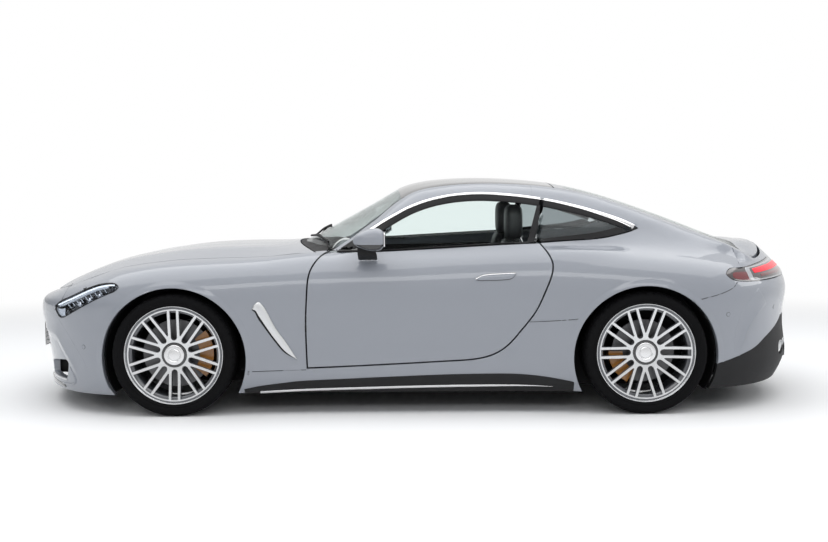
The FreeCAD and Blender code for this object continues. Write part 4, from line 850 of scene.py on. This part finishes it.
def headlamps():
    look = headlampLook
    top, low = smoothRun(look["top"], 70), smoothRun(look["low"], 70)
    area = between(top, low)
    lens = slab(area, outer.side, 68, 14, 0.0004, 0.003)
    onBody("headlamp_lens", lens, ["lamp_clear"], ["headlamps"])
    sink = lambda u, v: -0.006 - look["depth"] * (math.sin(math.pi * min(max(v, 0), 1)) ** 0.5) * min(
        1, 7 * u + 0.05, 7 * (1 - u) + 0.05)
    bowl = slab(area, outer.side, 60, 16, sink, 0.003)
    onBody("headlamp_bowl", bowl, ["black_gloss"], sharp=60)
    units = []
    for u, v, radius in look["projectors"]:
        spot, normal = outer.side(*area(u, v))
        place = spot - normal * look["unitSink"]
        units.append(domed(place, Vector(look["heading"]).normalized(), radius, look["unitRows"]))
    onBody("headlamp_units", joined(units), ["chrome"], sharp=25)
    edges = [smoothRun([area(u, v) for u in look["facet"]], 20) for v in look["facetRows"]]
    facet = slab(between(*edges), outer.side, 12, 8, -0.008, 0.002)
    onBody("headlamp_facet", facet, ["lampWhite"])
    for name, down, start, end, radius, finish in look["guides"]:
        path = []
        for step in range(40):
            spot, normal = outer.side(*area(start + (end - start) * step / 39, down))
            path.append(spot - normal * look["guideSink"])
        onBody(name, tube(path, radius), [finish])
    ladder = []
    for step in range(look["fins"]):
        u = look["finFrom"] + look["finStep"] * step
        spot, normal = outer.side(*area(u, 0.34))
        end, _ = outer.side(*area(u + 0.03, 0.56))
        ladder.append(tube([spot - normal * 0.014, end - normal * 0.026], look["finRadius"], 6))
    onBody("headlamp_fins", joined(ladder), ["lampWhite"])
    for name, edge, below, above in look["rims"]:
        run = smoothRun(look[edge], 70)
        lip = between(shifted(run, lambda s: below), shifted(run, lambda s: above))
        onBody(name, slab(lip, outer.side, 68, 1, 0.0012, 0.004), ["seal"])


headlamps()
print("headlamps made")


# a smoked lens wrapped round the corner, with red light bars
tailLook = {
    "hub": -1.70, "lean": 4.0,
    # degrees round from the side, then the lens's upper and lower edge in mm
    "edges": [(5.7, 801, 793), (6.2, 808, 785), (7, 817, 775), (8, 823, 767), (10, 827, 759), (12, 828, 755),
              (15, 828.5, 751), (20, 831.5, 749), (25, 837, 749.5), (30, 841, 751), (35, 845, 752),
              (40, 848, 753),
              (45, 851, 753.5), (50, 853, 754), (55, 855, 754), (57.5, 856, 754)],
    # areas: start and end in degrees, upper and lower share, and the share of the rounded front end
    "lens": (5.7, 57.5, 0.0, 1.0, 0.0), "reflector": (8.2, 20, 0.34, 0.93, 0.5),
    "loop": (15.5, 57, 0.07, 0.95, 0.12),
    "pocket": (17.8, 56.5, 0.15, 0.87, 0.12), "bar": (19.5, 56, 0.22, 0.50, 0.08),
    "lowBar": (23, 55, 0.60, 0.76, 0.06),
    # pieces: name, area, lift, depth, grid, crown, width of its soft edge, finish, slot
    "pieces": (("lens", "lens", 0.0015, 0.006, (90, 10), 0.002, 0, "smoked", "lamp_red"),
               ("reflector", "reflector", 0.0036, 0.003, (20, 8), 0.0, 0, "darkRed", "lamp_red"),
               ("bezel", "loop", 0.0045, 0.004, (60, 8), 0.001, 0.0012, "bezel", "bright"),
               ("pocket", "pocket", 0.0062, 0.003, (60, 6), 0.0, 0.001, "smoked", "lamp_red"),
               ("bar", "bar", 0.0085, 0.004, (60, 6), 0.002, 0.001, "lightRed", "lamp_red"),
               ("low_bar", "lowBar", 0.008, 0.003, (60, 4), 0.001, 0.001, "darkRed", "lamp_red"))}


def tailLamps():
    look = tailLook
    hub = Vector((look["hub"], 0, 0))

    def wrap(angle, z):
        a = math.radians(angle)
        out = Vector((-math.sin(a), math.cos(a), 0))
        return outer.meet(hub + out * 1.9 + Vector((0, 0, z / 1000)), -out)

    def patch(area, lift, depth, grid, crown):
        start, end, high, low, nosed = area

        def spot(u, v):
            # closer set at the front, whose end is rounded over the share nosed; the inner end leans
            angle = start + (end - start) * u ** 1.6
            for first, second in zip(look["edges"], look["edges"][1:]):
                if angle <= second[0] + 1e-6:
                    break
            share = (angle - first[0]) / (second[0] - first[0])
            top, foot = (a + (b - a) * share for a, b in zip(first[1:], second[1:]))
            narrow = math.sqrt(1 - max(0, 1 - (u + 0.01) / nosed) ** 2) if nosed else 1
            across = (high + low) / 2 + (v - 0.5) * (low - high) * narrow
            return Vector((angle + look["lean"] * across * u ** 3, top + (foot - top) * across))
        return slab(spot, wrap, *grid, lift, depth, crown)

    for name, area, lift, depth, grid, crown, soft, finish, slotName in look["pieces"]:
        bm = patch(look[area], lift, depth, grid, crown)
        if soft:
            softened(bm, soft)
        onBody("tail_lamp_" + name, bm, [finish], ["tail_lamps"] if area == "lens" else [])


tailLamps()
print("tail lamps made")


mirrorLook = {"low": (0.159, 0.903, 0.938), "high": (0.342, 1.048, 1.080), "band": 0.984, "power": 2.7,
              "middle": 1.0, "droop": 0.50, "taper": 0.020, "inset": (0.002, 0.002, 0.0015),
              "pane": ((0.1595, 0.930, 0.970), (0.168, 1.024, 1.054)), "stalkAt": 0.862,
              "stalkReach": (0, 0.075, 0.034),
              "stalk": [(0.322, 0.972), (0.318, 0.885), (0.206, 0.885), (0.242, 0.972)]}


def mirrors():
    look = mirrorLook

    def nosed(point, share):
        # lower and rounder towards the front, flatter behind
        ahead = (share.x + 1) / 2
        point.z = look["middle"] + (point.z - look["middle"]) * (1 - look["droop"] * ahead ** 2)
        point.y -= look["taper"] * ahead ** 2 * share.y
        return point

    low, high = Vector(look["low"]), Vector(look["high"])
    cap = rounded(low, high, look["power"], 18, nosed)
    plane = {"plane_co": (0, 0, look["band"]), "plane_no": (0, 0, -1)}
    bmesh.ops.bisect_plane(cap, geom=cap.verts[:] + cap.edges[:] + cap.faces[:], clear_outer=True, **plane)
    bmesh.ops.holes_fill(cap, edges=cap.edges[:], sides=0)
    onDoors("mirror_cap", cap, ["paint"], "mirror")
    inset = Vector(look["inset"])
    band = rounded(low + inset, high - inset, look["power"], 18, nosed)
    onDoors("mirror_band", band, ["black_gloss"])
    onDoors("mirror_pane", rounded(*look["pane"], 9, 8), ["bright"])
    foot = bmesh.new()
    near = [foot.verts.new((x, look["stalkAt"], z)) for x, z in look["stalk"]]
    far = bmesh.ops.extrude_face_region(foot, geom=[foot.faces.new(near)])["geom"]
    moved = [v for v in far if isinstance(v, bmesh.types.BMVert)]
    bmesh.ops.translate(foot, verts=moved, vec=look["stalkReach"])
    bmesh.ops.recalc_face_normals(foot, faces=foot.faces)
    onDoors("mirror_stalk", softened(foot, 0.007, 40, 3), ["seal"])


mirrors()
print("mirrors made")


# seams, arch lips and small fittings on the skin
seamLook = {
    "width": 3.0,
    "lines": [[(2060, 640), (2049, 668), (2036, 704), (2030, 742)],
              [(-1612, 655), (-1665, 669), (-1712, 680), (-1773, 698), (-1818, 717), (-1839, 733),
               (-1856, 756)],
              [(-1700, 270), (-1741, 286), (-1821, 308), (-1919, 340), (-1985, 366), (-2066, 418)],
              [(1003, 254), (860, 258), (620, 262)],
              [(-662, 533), (-760, 537), (-880, 546), (-978, 556)]],
    "archIn": 414, "archOut": 452, "archDrop": 26,
    "arches": (("front_arch_lip", "front_left_tyre", -24, 202),
               ("rear_arch_lip", "rear_left_tyre", -20, 184)),
    "liner": 0.415, "linerFrom": 0.846, "linerTurn": (2, 178),
    "dots": [(1905, 395), (-1795, 570), (-2130, 585)], "dot": 0.011,
    "dotParts": (("sensors", 0.0012, 0.0, "paint", "paint"),
                 ("sensor_rings", 0.0006, 0.0016, "seal", "black_plastic"))}


def seams():
    look = seamLook
    for i, line in enumerate(look["lines"]):
        run = smoothRun(line, 50)
        sides = [shifted(run, lambda s: half) for half in (look["width"] / 2, -look["width"] / 2)]
        onBody("seam_%d" % i, slab(between(*sides), outer.side, 48, 1, 0.0005, 0.002), ["seal"])
    for name, corner, start, end in look["arches"]:
        low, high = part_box(corner)
        x, z = (low.x + high.x) * 500, (low.z + high.z) * 500 - look["archDrop"]

        def ring(radius):
            turns = [math.radians(start + (end - start) * i / 90) for i in range(91)]
            return [Vector((x + radius * math.cos(a), z + radius * math.sin(a))) for a in turns]
        lip = slab(between(ring(look["archIn"]), ring(look["archOut"])), outer.side, 110, 8,
                   lambda u, v: 0.0006 + 0.0042 * math.cos(v * math.pi / 2) ** 1.5, 0.004)
        onBody(name, lip, ["paint"])
        backs = Skin(["front_wings", "front_bumper", "rear_quarters", "rear_bumper", "side_sills"])

        def across(angle, share):
            # from the wheelhouse's edge out to the inner face of the skin, just above the opening
            heading = Vector((math.cos(angle), 0, math.sin(angle)))
            place = Vector((x / 1000, 0.8, z / 1000)) + heading * look["liner"]
            edge = backs.meet(place, (0, 1, 0))[0].y - 0.0015
            place.y = look["linerFrom"] + (edge - look["linerFrom"]) * share
            return place, -heading
        begin, finish = math.radians(look["linerTurn"][0]), math.radians(look["linerTurn"][1])
        liner = slab(lambda u, v: (begin + (finish - begin) * u, v), across, 90, 4, 0.0, 0.002)
        onBody(name.replace("lip", "liner"), liner, ["seal"], sharp=60)
    for name, height, wider, finish, slotName in look["dotParts"]:
        dots = []
        for x, z in look["dots"]:
            spot, normal = outer.side(x, z)
            dots.append(tube([spot - normal * 0.003, spot + normal * height], look["dot"] + wider, 24))
        onBody(name, joined(dots), [finish])


seams()
print("seams drawn")


# the fold and the scoop's rim are in mm forward less outward, and up
noseLook = {"netHalf": 0.385, "wire": 0.0012, "netInset": 0.012, "splitter": (700, 131, 150), "bladeHalf": 5,
            "bladeRun": [(474, 183), (610, 183), (746, 183)],
            "shades": (((1.94, 0.46, 0.175), (1.97, 0.80, 0.31)),
                       ((1.95, 0.440, 0.175), (2.185, 0.450, 0.31))),
            "fold": [(1800, 476), (1566, 462), (1430, 452), (1367, 436), (1281, 373), (1204, 308),
                     (1139, 247),
                     (1128, 217), (1145, 186)],
            "foldBack": 120, "foldAhead": 50, "foldRise": 0.011,
            "rim": [(1240, 262), (1216, 238), (1180, 215), (1162, 190), (1195, 168), (1290, 156),
                    (1430, 150)],
            "rimHalf": 7}
tailEndLook = {"vent": [(-2062, 612), (-1985, 560), (-1922, 480), (-1890, 390), (-1876, 322)],
               "ventWidth": 120,
               "ventRise": 0.013, "plateHalf": 260, "plateTop": 655, "plateHeight": 115,
               "fins": (-0.30, -0.15, 0.0, 0.15, 0.30), "finHalf": 0.005, "finFoot": 0.232, "finHead": 0.318,
               "tips": (0.452, 0.562), "tipUp": 0.325, "tipReach": 0.049, "tipSlant": 0.25,
               # the ring's section: radius and how far ahead
               "tipRows": ((0.0438, 0.160), (0.0438, -0.003), (0.0400, -0.002), (0.0400, 0.160))}


def nose():
    look = noseLook
    low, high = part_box("front_grille")
    half, wire, inset = look["netHalf"], look["wire"], look["netInset"]
    net = []
    for row in range(11):
        z = low.z + inset + (high.z - low.z - 2 * inset) * row / 10
        net.append(rounded((high.x - 0.078, -half, z - wire), (high.x - 0.072, half, z + wire), 8, 1))
    for column in range(41):
        y = -half + 2 * half * column / 40
        net.append(rounded((high.x - 0.080, y - wire, low.z + inset / 2),
                           (high.x - 0.076, y + wire, high.z - inset / 2), 8, 1))
    single("grille_net", joined(net), "black_plastic")
    back = rounded((high.x - 0.165, -0.42, low.z - 0.02), (high.x - 0.150, 0.42, high.z + 0.02), 12, 2)
    single("grille_shade", back, "seal")
    half, foot, head = look["splitter"]
    edge = straight((-half, foot), (half, foot), 60)
    blade = slab(between(raised(edge, head - foot), edge), outer.nose, 90, 3, 0.004, 0.012)
    single("splitter", softened(blade, 0.001), "black_gloss")
    run = smoothRun(look["bladeRun"], 30)
    edges = [raised(run, half) for half in (look["bladeHalf"], -look["bladeHalf"])]
    shelf = slab(between(*edges), outer.nose, 28, 2, 0.005, 0.010)
    onBody("intake_blade", softened(shelf, 0.001), ["satin"])
    shades = [rounded(near, far, 12, 2) for near, far in look["shades"]]
    onBody("intake_shade", joined(shades), ["seal"])

    def corner(ahead, z):
        # met from 45 degrees ahead
        return outer.meet(((3600 + ahead) / 2000, (3600 - ahead) / 2000, z / 1000), (-0.70711, -0.70711, 0))

    fold = smoothRun(look["fold"], 60)
    crest = look["foldBack"] / (look["foldBack"] + look["foldAhead"])

    def rise(u, v):
        share = (v / crest) ** 2 if v < crest else (1 - v) / (1 - crest)
        return 0.0004 + look["foldRise"] * share * min(1, 5 * u, 6 * (1 - u))

    back = shifted(fold, lambda share: -look["foldBack"])
    ahead = shifted(fold, lambda share: look["foldAhead"])
    onBody("nose_fold", slab(between(back, ahead), corner, 64, 17, rise, 0.004), ["paint"],
           sharp=40)
    rim = smoothRun(look["rim"], 50)
    edges = [shifted(rim, lambda share: half) for half in (look["rimHalf"], -look["rimHalf"])]
    sill = slab(between(*edges), corner, 60, 4,
                lambda u, v: 0.002 + 0.006 * math.sin(math.pi * v) * min(1, 6 * u, 6 * (1 - u)), 0.004)
    onBody("scoop_rim", sill, ["paint"], sharp=60)


def tailEnd():
    look = tailEndLook
    vent = smoothRun(look["vent"], 50)
    front = shifted(vent, lambda share: look["ventWidth"] * (1 - 0.7 * share))
    blade = slab(between(vent, front), outer.side, 56, 10,
                 lambda u, v: 0.0004 + look["ventRise"] * (1 - v) ** 2 * min(1, 4 * u, 5 * (1 - u)), 0.004)
    onBody("bumper_blade", softened(blade, 0.0015), ["paint"], sharp=50)
    plate = straight((-look["plateHalf"], look["plateTop"]), (look["plateHalf"], look["plateTop"]), 20)
    recess = slab(between(plate, raised(plate, -look["plateHeight"])), outer.tail, 30, 6, 0.0008, 0.003)
    single("plate_recess", softened(recess, 0.001), "black_plastic")
    fins, half = [], look["finHalf"]
    for y in look["fins"]:
        x = outer.tail(y * 1000, 275)[0].x
        fins.append(rounded((x - 0.006, y - half, look["finFoot"]), (x + 0.05, y + half, look["finHead"]),
                            10, 2))
    single("diffuser_fins", joined(fins), "black_gloss")
    diffuser, up, reach = Skin(["rear_diffuser"]), look["tipUp"], look["tipReach"]
    shadeDiscs, rings = [], []
    for y in look["tips"]:
        # each ring's mouth follows the diffuser's slope
        near, far = (diffuser.tail((y + side) * 1000, up * 1000)[0].x for side in (-reach, reach))
        ring = bmesh.new()
        loops = []
        for radius, ahead in look["tipRows"]:
            loop = []
            for i in range(48):
                a = 2 * math.pi * i / 48
                x = near + (far - near) * (1 + math.cos(a)) / 2 + ahead
                x += look["tipSlant"] * (1 - math.sin(a)) * radius
                loop.append(ring.verts.new((x, y + radius * math.cos(a), up + radius * math.sin(a))))
            loops.append([ring.edges.new(pair) for pair in zip(loop, loop[1:] + loop[:1])])
        for first, second in zip(loops, loops[1:] + loops[:1]):
            bmesh.ops.bridge_loops(ring, edges=first + second)
        bmesh.ops.recalc_face_normals(ring, faces=ring.faces)
        rings.append(ring)
        # a thin dark disc in each ring, painted shade for the depth of the pipe
        shadeDiscs.append(tube([Vector((-2.075, y, up)), Vector((-2.070, y, up))], 0.039, 24))
    onBody("exhaust_rings", joined(rings), ["satin"], ["exhaust_tips"])
    onBody("exhaust_shade", joined(shadeDiscs), ["seal"])


nose()
tailEnd()
print("nose and tail made")


wiperLook = {"arms": (((640, 150), (505, 560)), ((655, -330), (520, 90))), "armRadius": 0.0065,
             "bladeRadius": 0.0045, "bladeStart": (-22, -40), "bladeLonger": (16, 120), "steps": 14}


def wipers():
    look = wiperLook
    arms, blades = [], []
    for start, end in look["arms"]:
        path, blade = [], []
        for i in range(look["steps"] + 1):
            share = i / look["steps"]
            spot, normal = outer.top(*(a + (b - a) * share for a, b in zip(start, end)))
            path.append(spot + normal * (0.016 - 0.004 * share))
            place = (a + first + (b - a + longer) * share
                     for a, b, first, longer in zip(start, end, look["bladeStart"], look["bladeLonger"]))
            spot, normal = outer.top(*place)
            blade.append(spot + normal * 0.006)
        arms.append(tube(path, look["armRadius"], 8))
        blades.append(tube(blade, look["bladeRadius"], 6))
    single("wiper_arms", joined(arms), "black_plastic")
    single("wiper_blades", joined(blades), "seal")


wipers()

# seat blocks: rear, front, half width or edge, foot, head, power, cuts, leaning
seatLook = {"middle": 0.386, "half": 0.235, "lean": 0.150,
            "cushion": (-0.44, -0.02, 0.17, 0.22, 0.355, 5, 10),
            "back": (-0.535, -0.435, 0.16, 0.33, 0.98, 5, 10),
            "bolster": (-0.43, -0.03, 0.15, 0.21, 0.395, 4, 8),
            "wing": (-0.530, -0.385, 0.15, 0.34, 0.90, 4, 8),
            "headrest": (-0.665, -0.560, 0.135, 0.975, 1.190, 4, 10),
            "shell": (-0.545, -0.505, 0.220, 0.31, 0.99, 6, 6),
            "base": (-0.42, -0.06, 0.20, 0.142, 0.235, 8, 4),
            "rearMiddle": 0.355, "rearLean": 0.05,
            "rearCushion": (-0.90, -0.775, 0.22, 0.30, 0.405, 5, 8),
            "rearBack": (-0.985, -0.90, 0.22, 0.38, 0.755, 5, 8)}


def seats():
    look = seatLook

    def leant(point, share):
        # the back leans from the hip
        point.x -= look["lean"] * (point.z - 0.30)
        return point

    def rearLeant(point, share):
        return point - Vector((look["rearLean"] * (point.z - 0.38), 0, 0))

    def block(part, y, warp=None):
        rear, front, half, foot, head, power, cuts = look[part]
        return rounded((rear, y - half, foot), (front, y + half, head), power, cuts, warp)

    def flank(part, y, edge, warp=None):
        rear, front, near, foot, head, power, cuts = look[part]
        a, b = sorted((y + edge * near, y + edge * look["half"]))
        return rounded((rear, a, foot), (front, b, head), power, cuts, warp)

    soft, hard, rear = [], [], []
    for side in (1, -1):
        y = side * look["middle"]
        soft += [block("cushion", y), block("back", y, leant)]
        for edge in (-1, 1):
            soft += [flank("bolster", y, edge), flank("wing", y, edge, leant)]
        soft.append(block("headrest", y))
        hard += [block("shell", y, leant), block("base", y)]
        y = side * look["rearMiddle"]
        rear += [block("rearCushion", y), block("rearBack", y, rearLeant)]
    single("seats", joined(soft), "leather", ["front_seats"], 60)
    single("seat_shells", joined(hard), "trim", sharp=60)
    single("rear_seats", joined(rear), "leather", ["rear_seat"], 60)


seats()
print("seats made")


# door lines start at the hinge; "drop" is how far down a part goes
cabinLook = {"cardFoot": ((570, 360), (-560, 360)), "cardHead": ((520, 880), (-710, 900)), "cardRise": 9,
             "rest": ((330, 640), (-430, 640)), "restDrop": 70, "restRise": 0.035,
             "pull": ((300, 745), (130, 745)), "pullDrop": 22,
             "ventsAt": (-0.55, -0.22, 0.20, 0.57), "ventHalf": 0.045,
             "knob": ((0.10, -0.025, 0.565), (0.16, 0.025, 0.625))}


def cabin():
    look = cabinLook
    inner = Skin(["left_door"])
    card = lambda x, z: inner.meet((x / 1000, 0.25, z / 1000), (0, 1, 0))
    foot = straight(*look["cardFoot"], 40)
    for i, point in enumerate(foot[30:]):
        point.y += look["cardRise"] * i
    lining = slab(between(straight(*look["cardHead"], 40), foot), card, 40, 14, 0.004, 0.004)
    onDoors("card", softened(lining, 0.001), ["trim"], sharp=60)
    rest = straight(*look["rest"], 24)
    puffed = lambda u, v: look["restRise"] * math.sin(math.pi * v) ** 0.5 * min(1, 8 * u, 8 * (1 - u))
    pad = slab(between(rest, raised(rest, -look["restDrop"])), card, 30, 8,
               lambda u, v: 0.006 + puffed(u, v), 0.004)
    onDoors("armrest", softened(pad, 0.001), ["leather"], sharp=60)
    pull = straight(*look["pull"], 12)
    handle = slab(between(pull, raised(pull, -look["pullDrop"])), card, 14, 3, 0.010, 0.008)
    onDoors("pull", softened(handle, 0.001), ["satin"])
    low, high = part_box("dashboard")
    screen = rounded((low.x - 0.016, -0.13, 0.60), (low.x - 0.004, 0.13, 0.80), 10, 3)
    single("screen", screen, "black_gloss")
    hood = rounded((low.x - 0.02, 0.24, 0.80), (low.x + 0.14, 0.53, high.z + 0.045), 5, 8)
    single("binnacle", hood, "trim")
    half = look["ventHalf"]
    vents = [rounded((low.x - 0.012, y - half, 0.735), (low.x + 0.01, y + half, 0.795), 3, 6)
             for y in look["ventsAt"]]
    single("vents", joined(vents), "rimGrey")
    single("gear_knob", rounded(*look["knob"], 3, 6), "satin")


cabin()


bayLook = {"ribStart": 0.20, "ribStep": 0.062, "ribWidth": 0.030, "pipeRadius": 0.034,
           # along from the block's front, out, and up from its top
           "pipe": ((-0.05, 0.19, -0.06), (0.10, 0.22, -0.07), (0.26, 0.26, -0.11), (0.38, 0.27, -0.17)),
           "boxes": (((0.70, 0.36, 0.60), (0.92, 0.58, 0.80)), ((0.70, -0.60, 0.58), (0.95, -0.36, 0.79))),
           "finStart": 0.02, "finStep": 0.011, "fins": 38, "finThick": 0.003, "finInset": 0.01,
           "carpet": ((-2.095, -0.535, 0.5005), (-1.012, 0.535, 0.508)),
           "matFront": ((1960, -520), (1960, 520)), "matBack": ((740, -560), (740, 560))}


def bays():
    look = bayLook
    low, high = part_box("engine_block")
    cover = [rounded((low.x + 0.13, -0.255, high.z - 0.05), (high.x - 0.03, 0.255, high.z + 0.022), 6, 10)]
    for i in range(8):
        x = low.x + look["ribStart"] + look["ribStep"] * i
        cover.append(rounded((x, -0.205, high.z + 0.012), (x + look["ribWidth"], 0.205, high.z + 0.029), 8,
                             2))
    single("engine_cover", joined(cover), "black_plastic")
    pipes = []
    for side in (1, -1):
        path = [Vector((high.x + x, side * y, high.z + z)) for x, y, z in look["pipe"]]
        pipes.append(tube(path, look["pipeRadius"], 16))
    single("intake_pipes", joined(pipes), "seal")
    boxes = [rounded(near, far, 8, 4) for near, far in look["boxes"]]
    single("bay_boxes", joined(boxes), "black_plastic")
    low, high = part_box("radiator")
    inset, thick = look["finInset"], look["finThick"]
    levels = [low.z + look["finStart"] + look["finStep"] * i for i in range(look["fins"])]
    fins = [rounded((high.x, low.y + inset, z), (high.x + thick, high.y - inset, z + thick), 8, 1)
            for z in levels]
    single("radiator_fins", joined(fins), "disc")
    single("boot_carpet", rounded(*look["carpet"], 14, 4), "leather")
    under = Skin(["bonnet"])
    below = lambda x, y: under.meet((x / 1000, y / 1000, 0.2), (0, 0, 1))
    ends = [straight(*look[end], 30) for end in ("matFront", "matBack")]
    mat = softened(slab(between(*ends), below, 30, 30, 0.004, 0.003), 0.001)
    single("bonnet_mat", mat, "leather", body="bonnet", sharp=60)


bays()
print("cabin and bays made")


replaced = {name for piece in bpy.data.objects for name in piece.get("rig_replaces", [])}
for name in nodes:
    if name not in replaced:
        dressed(name)
print("dressed", len(nodes) - len(replaced), "nodes")


def cameraStand():
    # looks at the car's left side from the height of its roof
    view = {"place": (-0.002, 7.457, 1.354), "down": 4.613, "roll": 0.315, "lens": 50.0, "sensor": 36.0}
    data = bpy.data.cameras.new("sideCamera")
    data.lens, data.sensor_width = view["lens"], view["sensor"]
    camera = bpy.data.objects.new("sideCamera", data)
    bpy.context.scene.collection.objects.link(camera)
    aim = Matrix.Rotation(math.pi, 4, "Z") @ Matrix.Rotation(math.radians(90 - view["down"]), 4, "X")
    camera.matrix_world = Matrix.Translation(view["place"]) @ aim @ Matrix.Rotation(
        math.radians(-view["roll"]), 4, "Z")
    bpy.context.scene.camera = camera


def lamp(name, place, aim, size, power):
    data = bpy.data.lights.new(name, "AREA")
    data.shape, data.size, data.size_y = "RECTANGLE", size[0], size[1]
    data.energy = power
    lampObject = bpy.data.objects.new(name, data)
    bpy.context.scene.collection.objects.link(lampObject)
    lampObject.location = place
    lampObject.rotation_euler = (Vector(aim) - Vector(place)).to_track_quat("-Z", "Y").to_euler()


stageLook = {"white": 1.0, "soft": 0.45, "mirror": 0.80, "mirrorAhead": 0.12, "near": 3.4, "far": 6.5,
             "floorGlow": 0.7,
             # name, place, aim, size, power
             "lamps": (("overhead", (0, 0.3, 5.6), (0, 0, 0), (12.0, 8.0), 480),
                       ("sideSoft", (0.3, 8.5, 4.2), (0, 0, 0.4), (9, 1.6), 110),
                       ("frontSoft", (7.5, 1.0, 3.2), (1, 0, 0.5), (3.5, 1.6), 25),
                       ("rearSoft", (-7.5, 1.0, 3.2), (-1, 0, 0.6), (3.5, 1.6), 60))}


def rays(sheet):
    # rays that see the stage white, the camera's and those through glass; and mirrored rays
    sorts = sheet.node("ShaderNodeLightPath").socket.node.outputs
    direct, through, mirrored = (Signal(sheet, sorts["Is " + sort + " Ray"])
                                 for sort in ("Camera", "Transmission", "Glossy"))
    return direct.math("MAXIMUM", direct, through), mirrored


def studio():
    scene = bpy.context.scene
    scene.view_settings.view_transform = "Standard"
    world = bpy.data.worlds.new("studio")
    scene.world = world
    world.use_nodes = True
    sky = Sheet("skyParts", world.node_tree)
    seen, glossy = rays(sky)
    heading = sky.node("ShaderNodeTexCoord", out=0)
    ahead = sky.node("ShaderNodeSeparateXYZ", {}, {0: heading})
    above = sky.node("ShaderNodeSeparateXYZ", {}, {0: heading}, out=2)
    dim = sky.node("ShaderNodeMapRange", {"interpolation_type": "SMOOTHSTEP"},
                   {0: ahead - above * 1.2, 1: 0.25, 2: 0.75, 3: stageLook["mirror"],
                    4: stageLook["mirrorAhead"]})
    soft = sky.node("ShaderNodeBackground", {}, {0: (0.93, 0.96, 1, 1), 1: stageLook["soft"]})
    mirrored = sky.node("ShaderNodeBackground", {}, {0: (1, 1, 1, 1), 1: dim})
    unseen = sky.node("ShaderNodeMixShader", {}, {0: glossy, 1: soft, 2: mirrored})
    white = sky.node("ShaderNodeBackground", {}, {0: (1, 1, 1, 1), 1: stageLook["white"]})
    blend = sky.node("ShaderNodeMixShader", {}, {0: seen, 1: unseen, 2: white})
    sky.tree.links.new(blend.socket, sky.tree.nodes.new("ShaderNodeOutputWorld").inputs[0])

    mesh = bpy.data.meshes.new("floor")
    bm = bmesh.new()
    bmesh.ops.create_grid(bm, x_segments=1, y_segments=1, size=60)
    bm.to_mesh(mesh)
    bm.free()
    floor = bpy.data.objects.new("floor", mesh)
    scene.collection.objects.link(floor)
    sheet = Sheet("floorWhite")
    seen, glossy = rays(sheet)
    reach = sheet.node("ShaderNodeVectorMath", {"operation": "LENGTH"}, {0: sheet.place(scale=(0.75, 1, 1))},
                       out=1)
    fade = sheet.node("ShaderNodeMapRange", {"interpolation_type": "SMOOTHSTEP"},
                      {0: reach, 1: stageLook["near"], 2: stageLook["far"], 3: 0.0, 4: 1.0})
    plain = sheet.node("ShaderNodeBsdfDiffuse", {}, {"Color": (0.9, 0.9, 0.9, 1)})
    glow = sheet.node("ShaderNodeEmission", {}, {"Color": (1, 1, 1, 1), "Strength": stageLook["white"]})
    unseen = sheet.node("ShaderNodeMixShader", {},
                        {0: glossy * fade * stageLook["floorGlow"], 1: plain, 2: glow})
    white = sheet.node("ShaderNodeMixShader", {}, {0: fade, 1: plain, 2: glow})
    sheet.node_out(sheet.node("ShaderNodeMixShader", {}, {0: seen, 1: unseen, 2: white}))
    mesh.materials.append(sheet.material)
    for row in stageLook["lamps"]:
        lamp(*row)


cameraStand()
studio()
print("stage set")
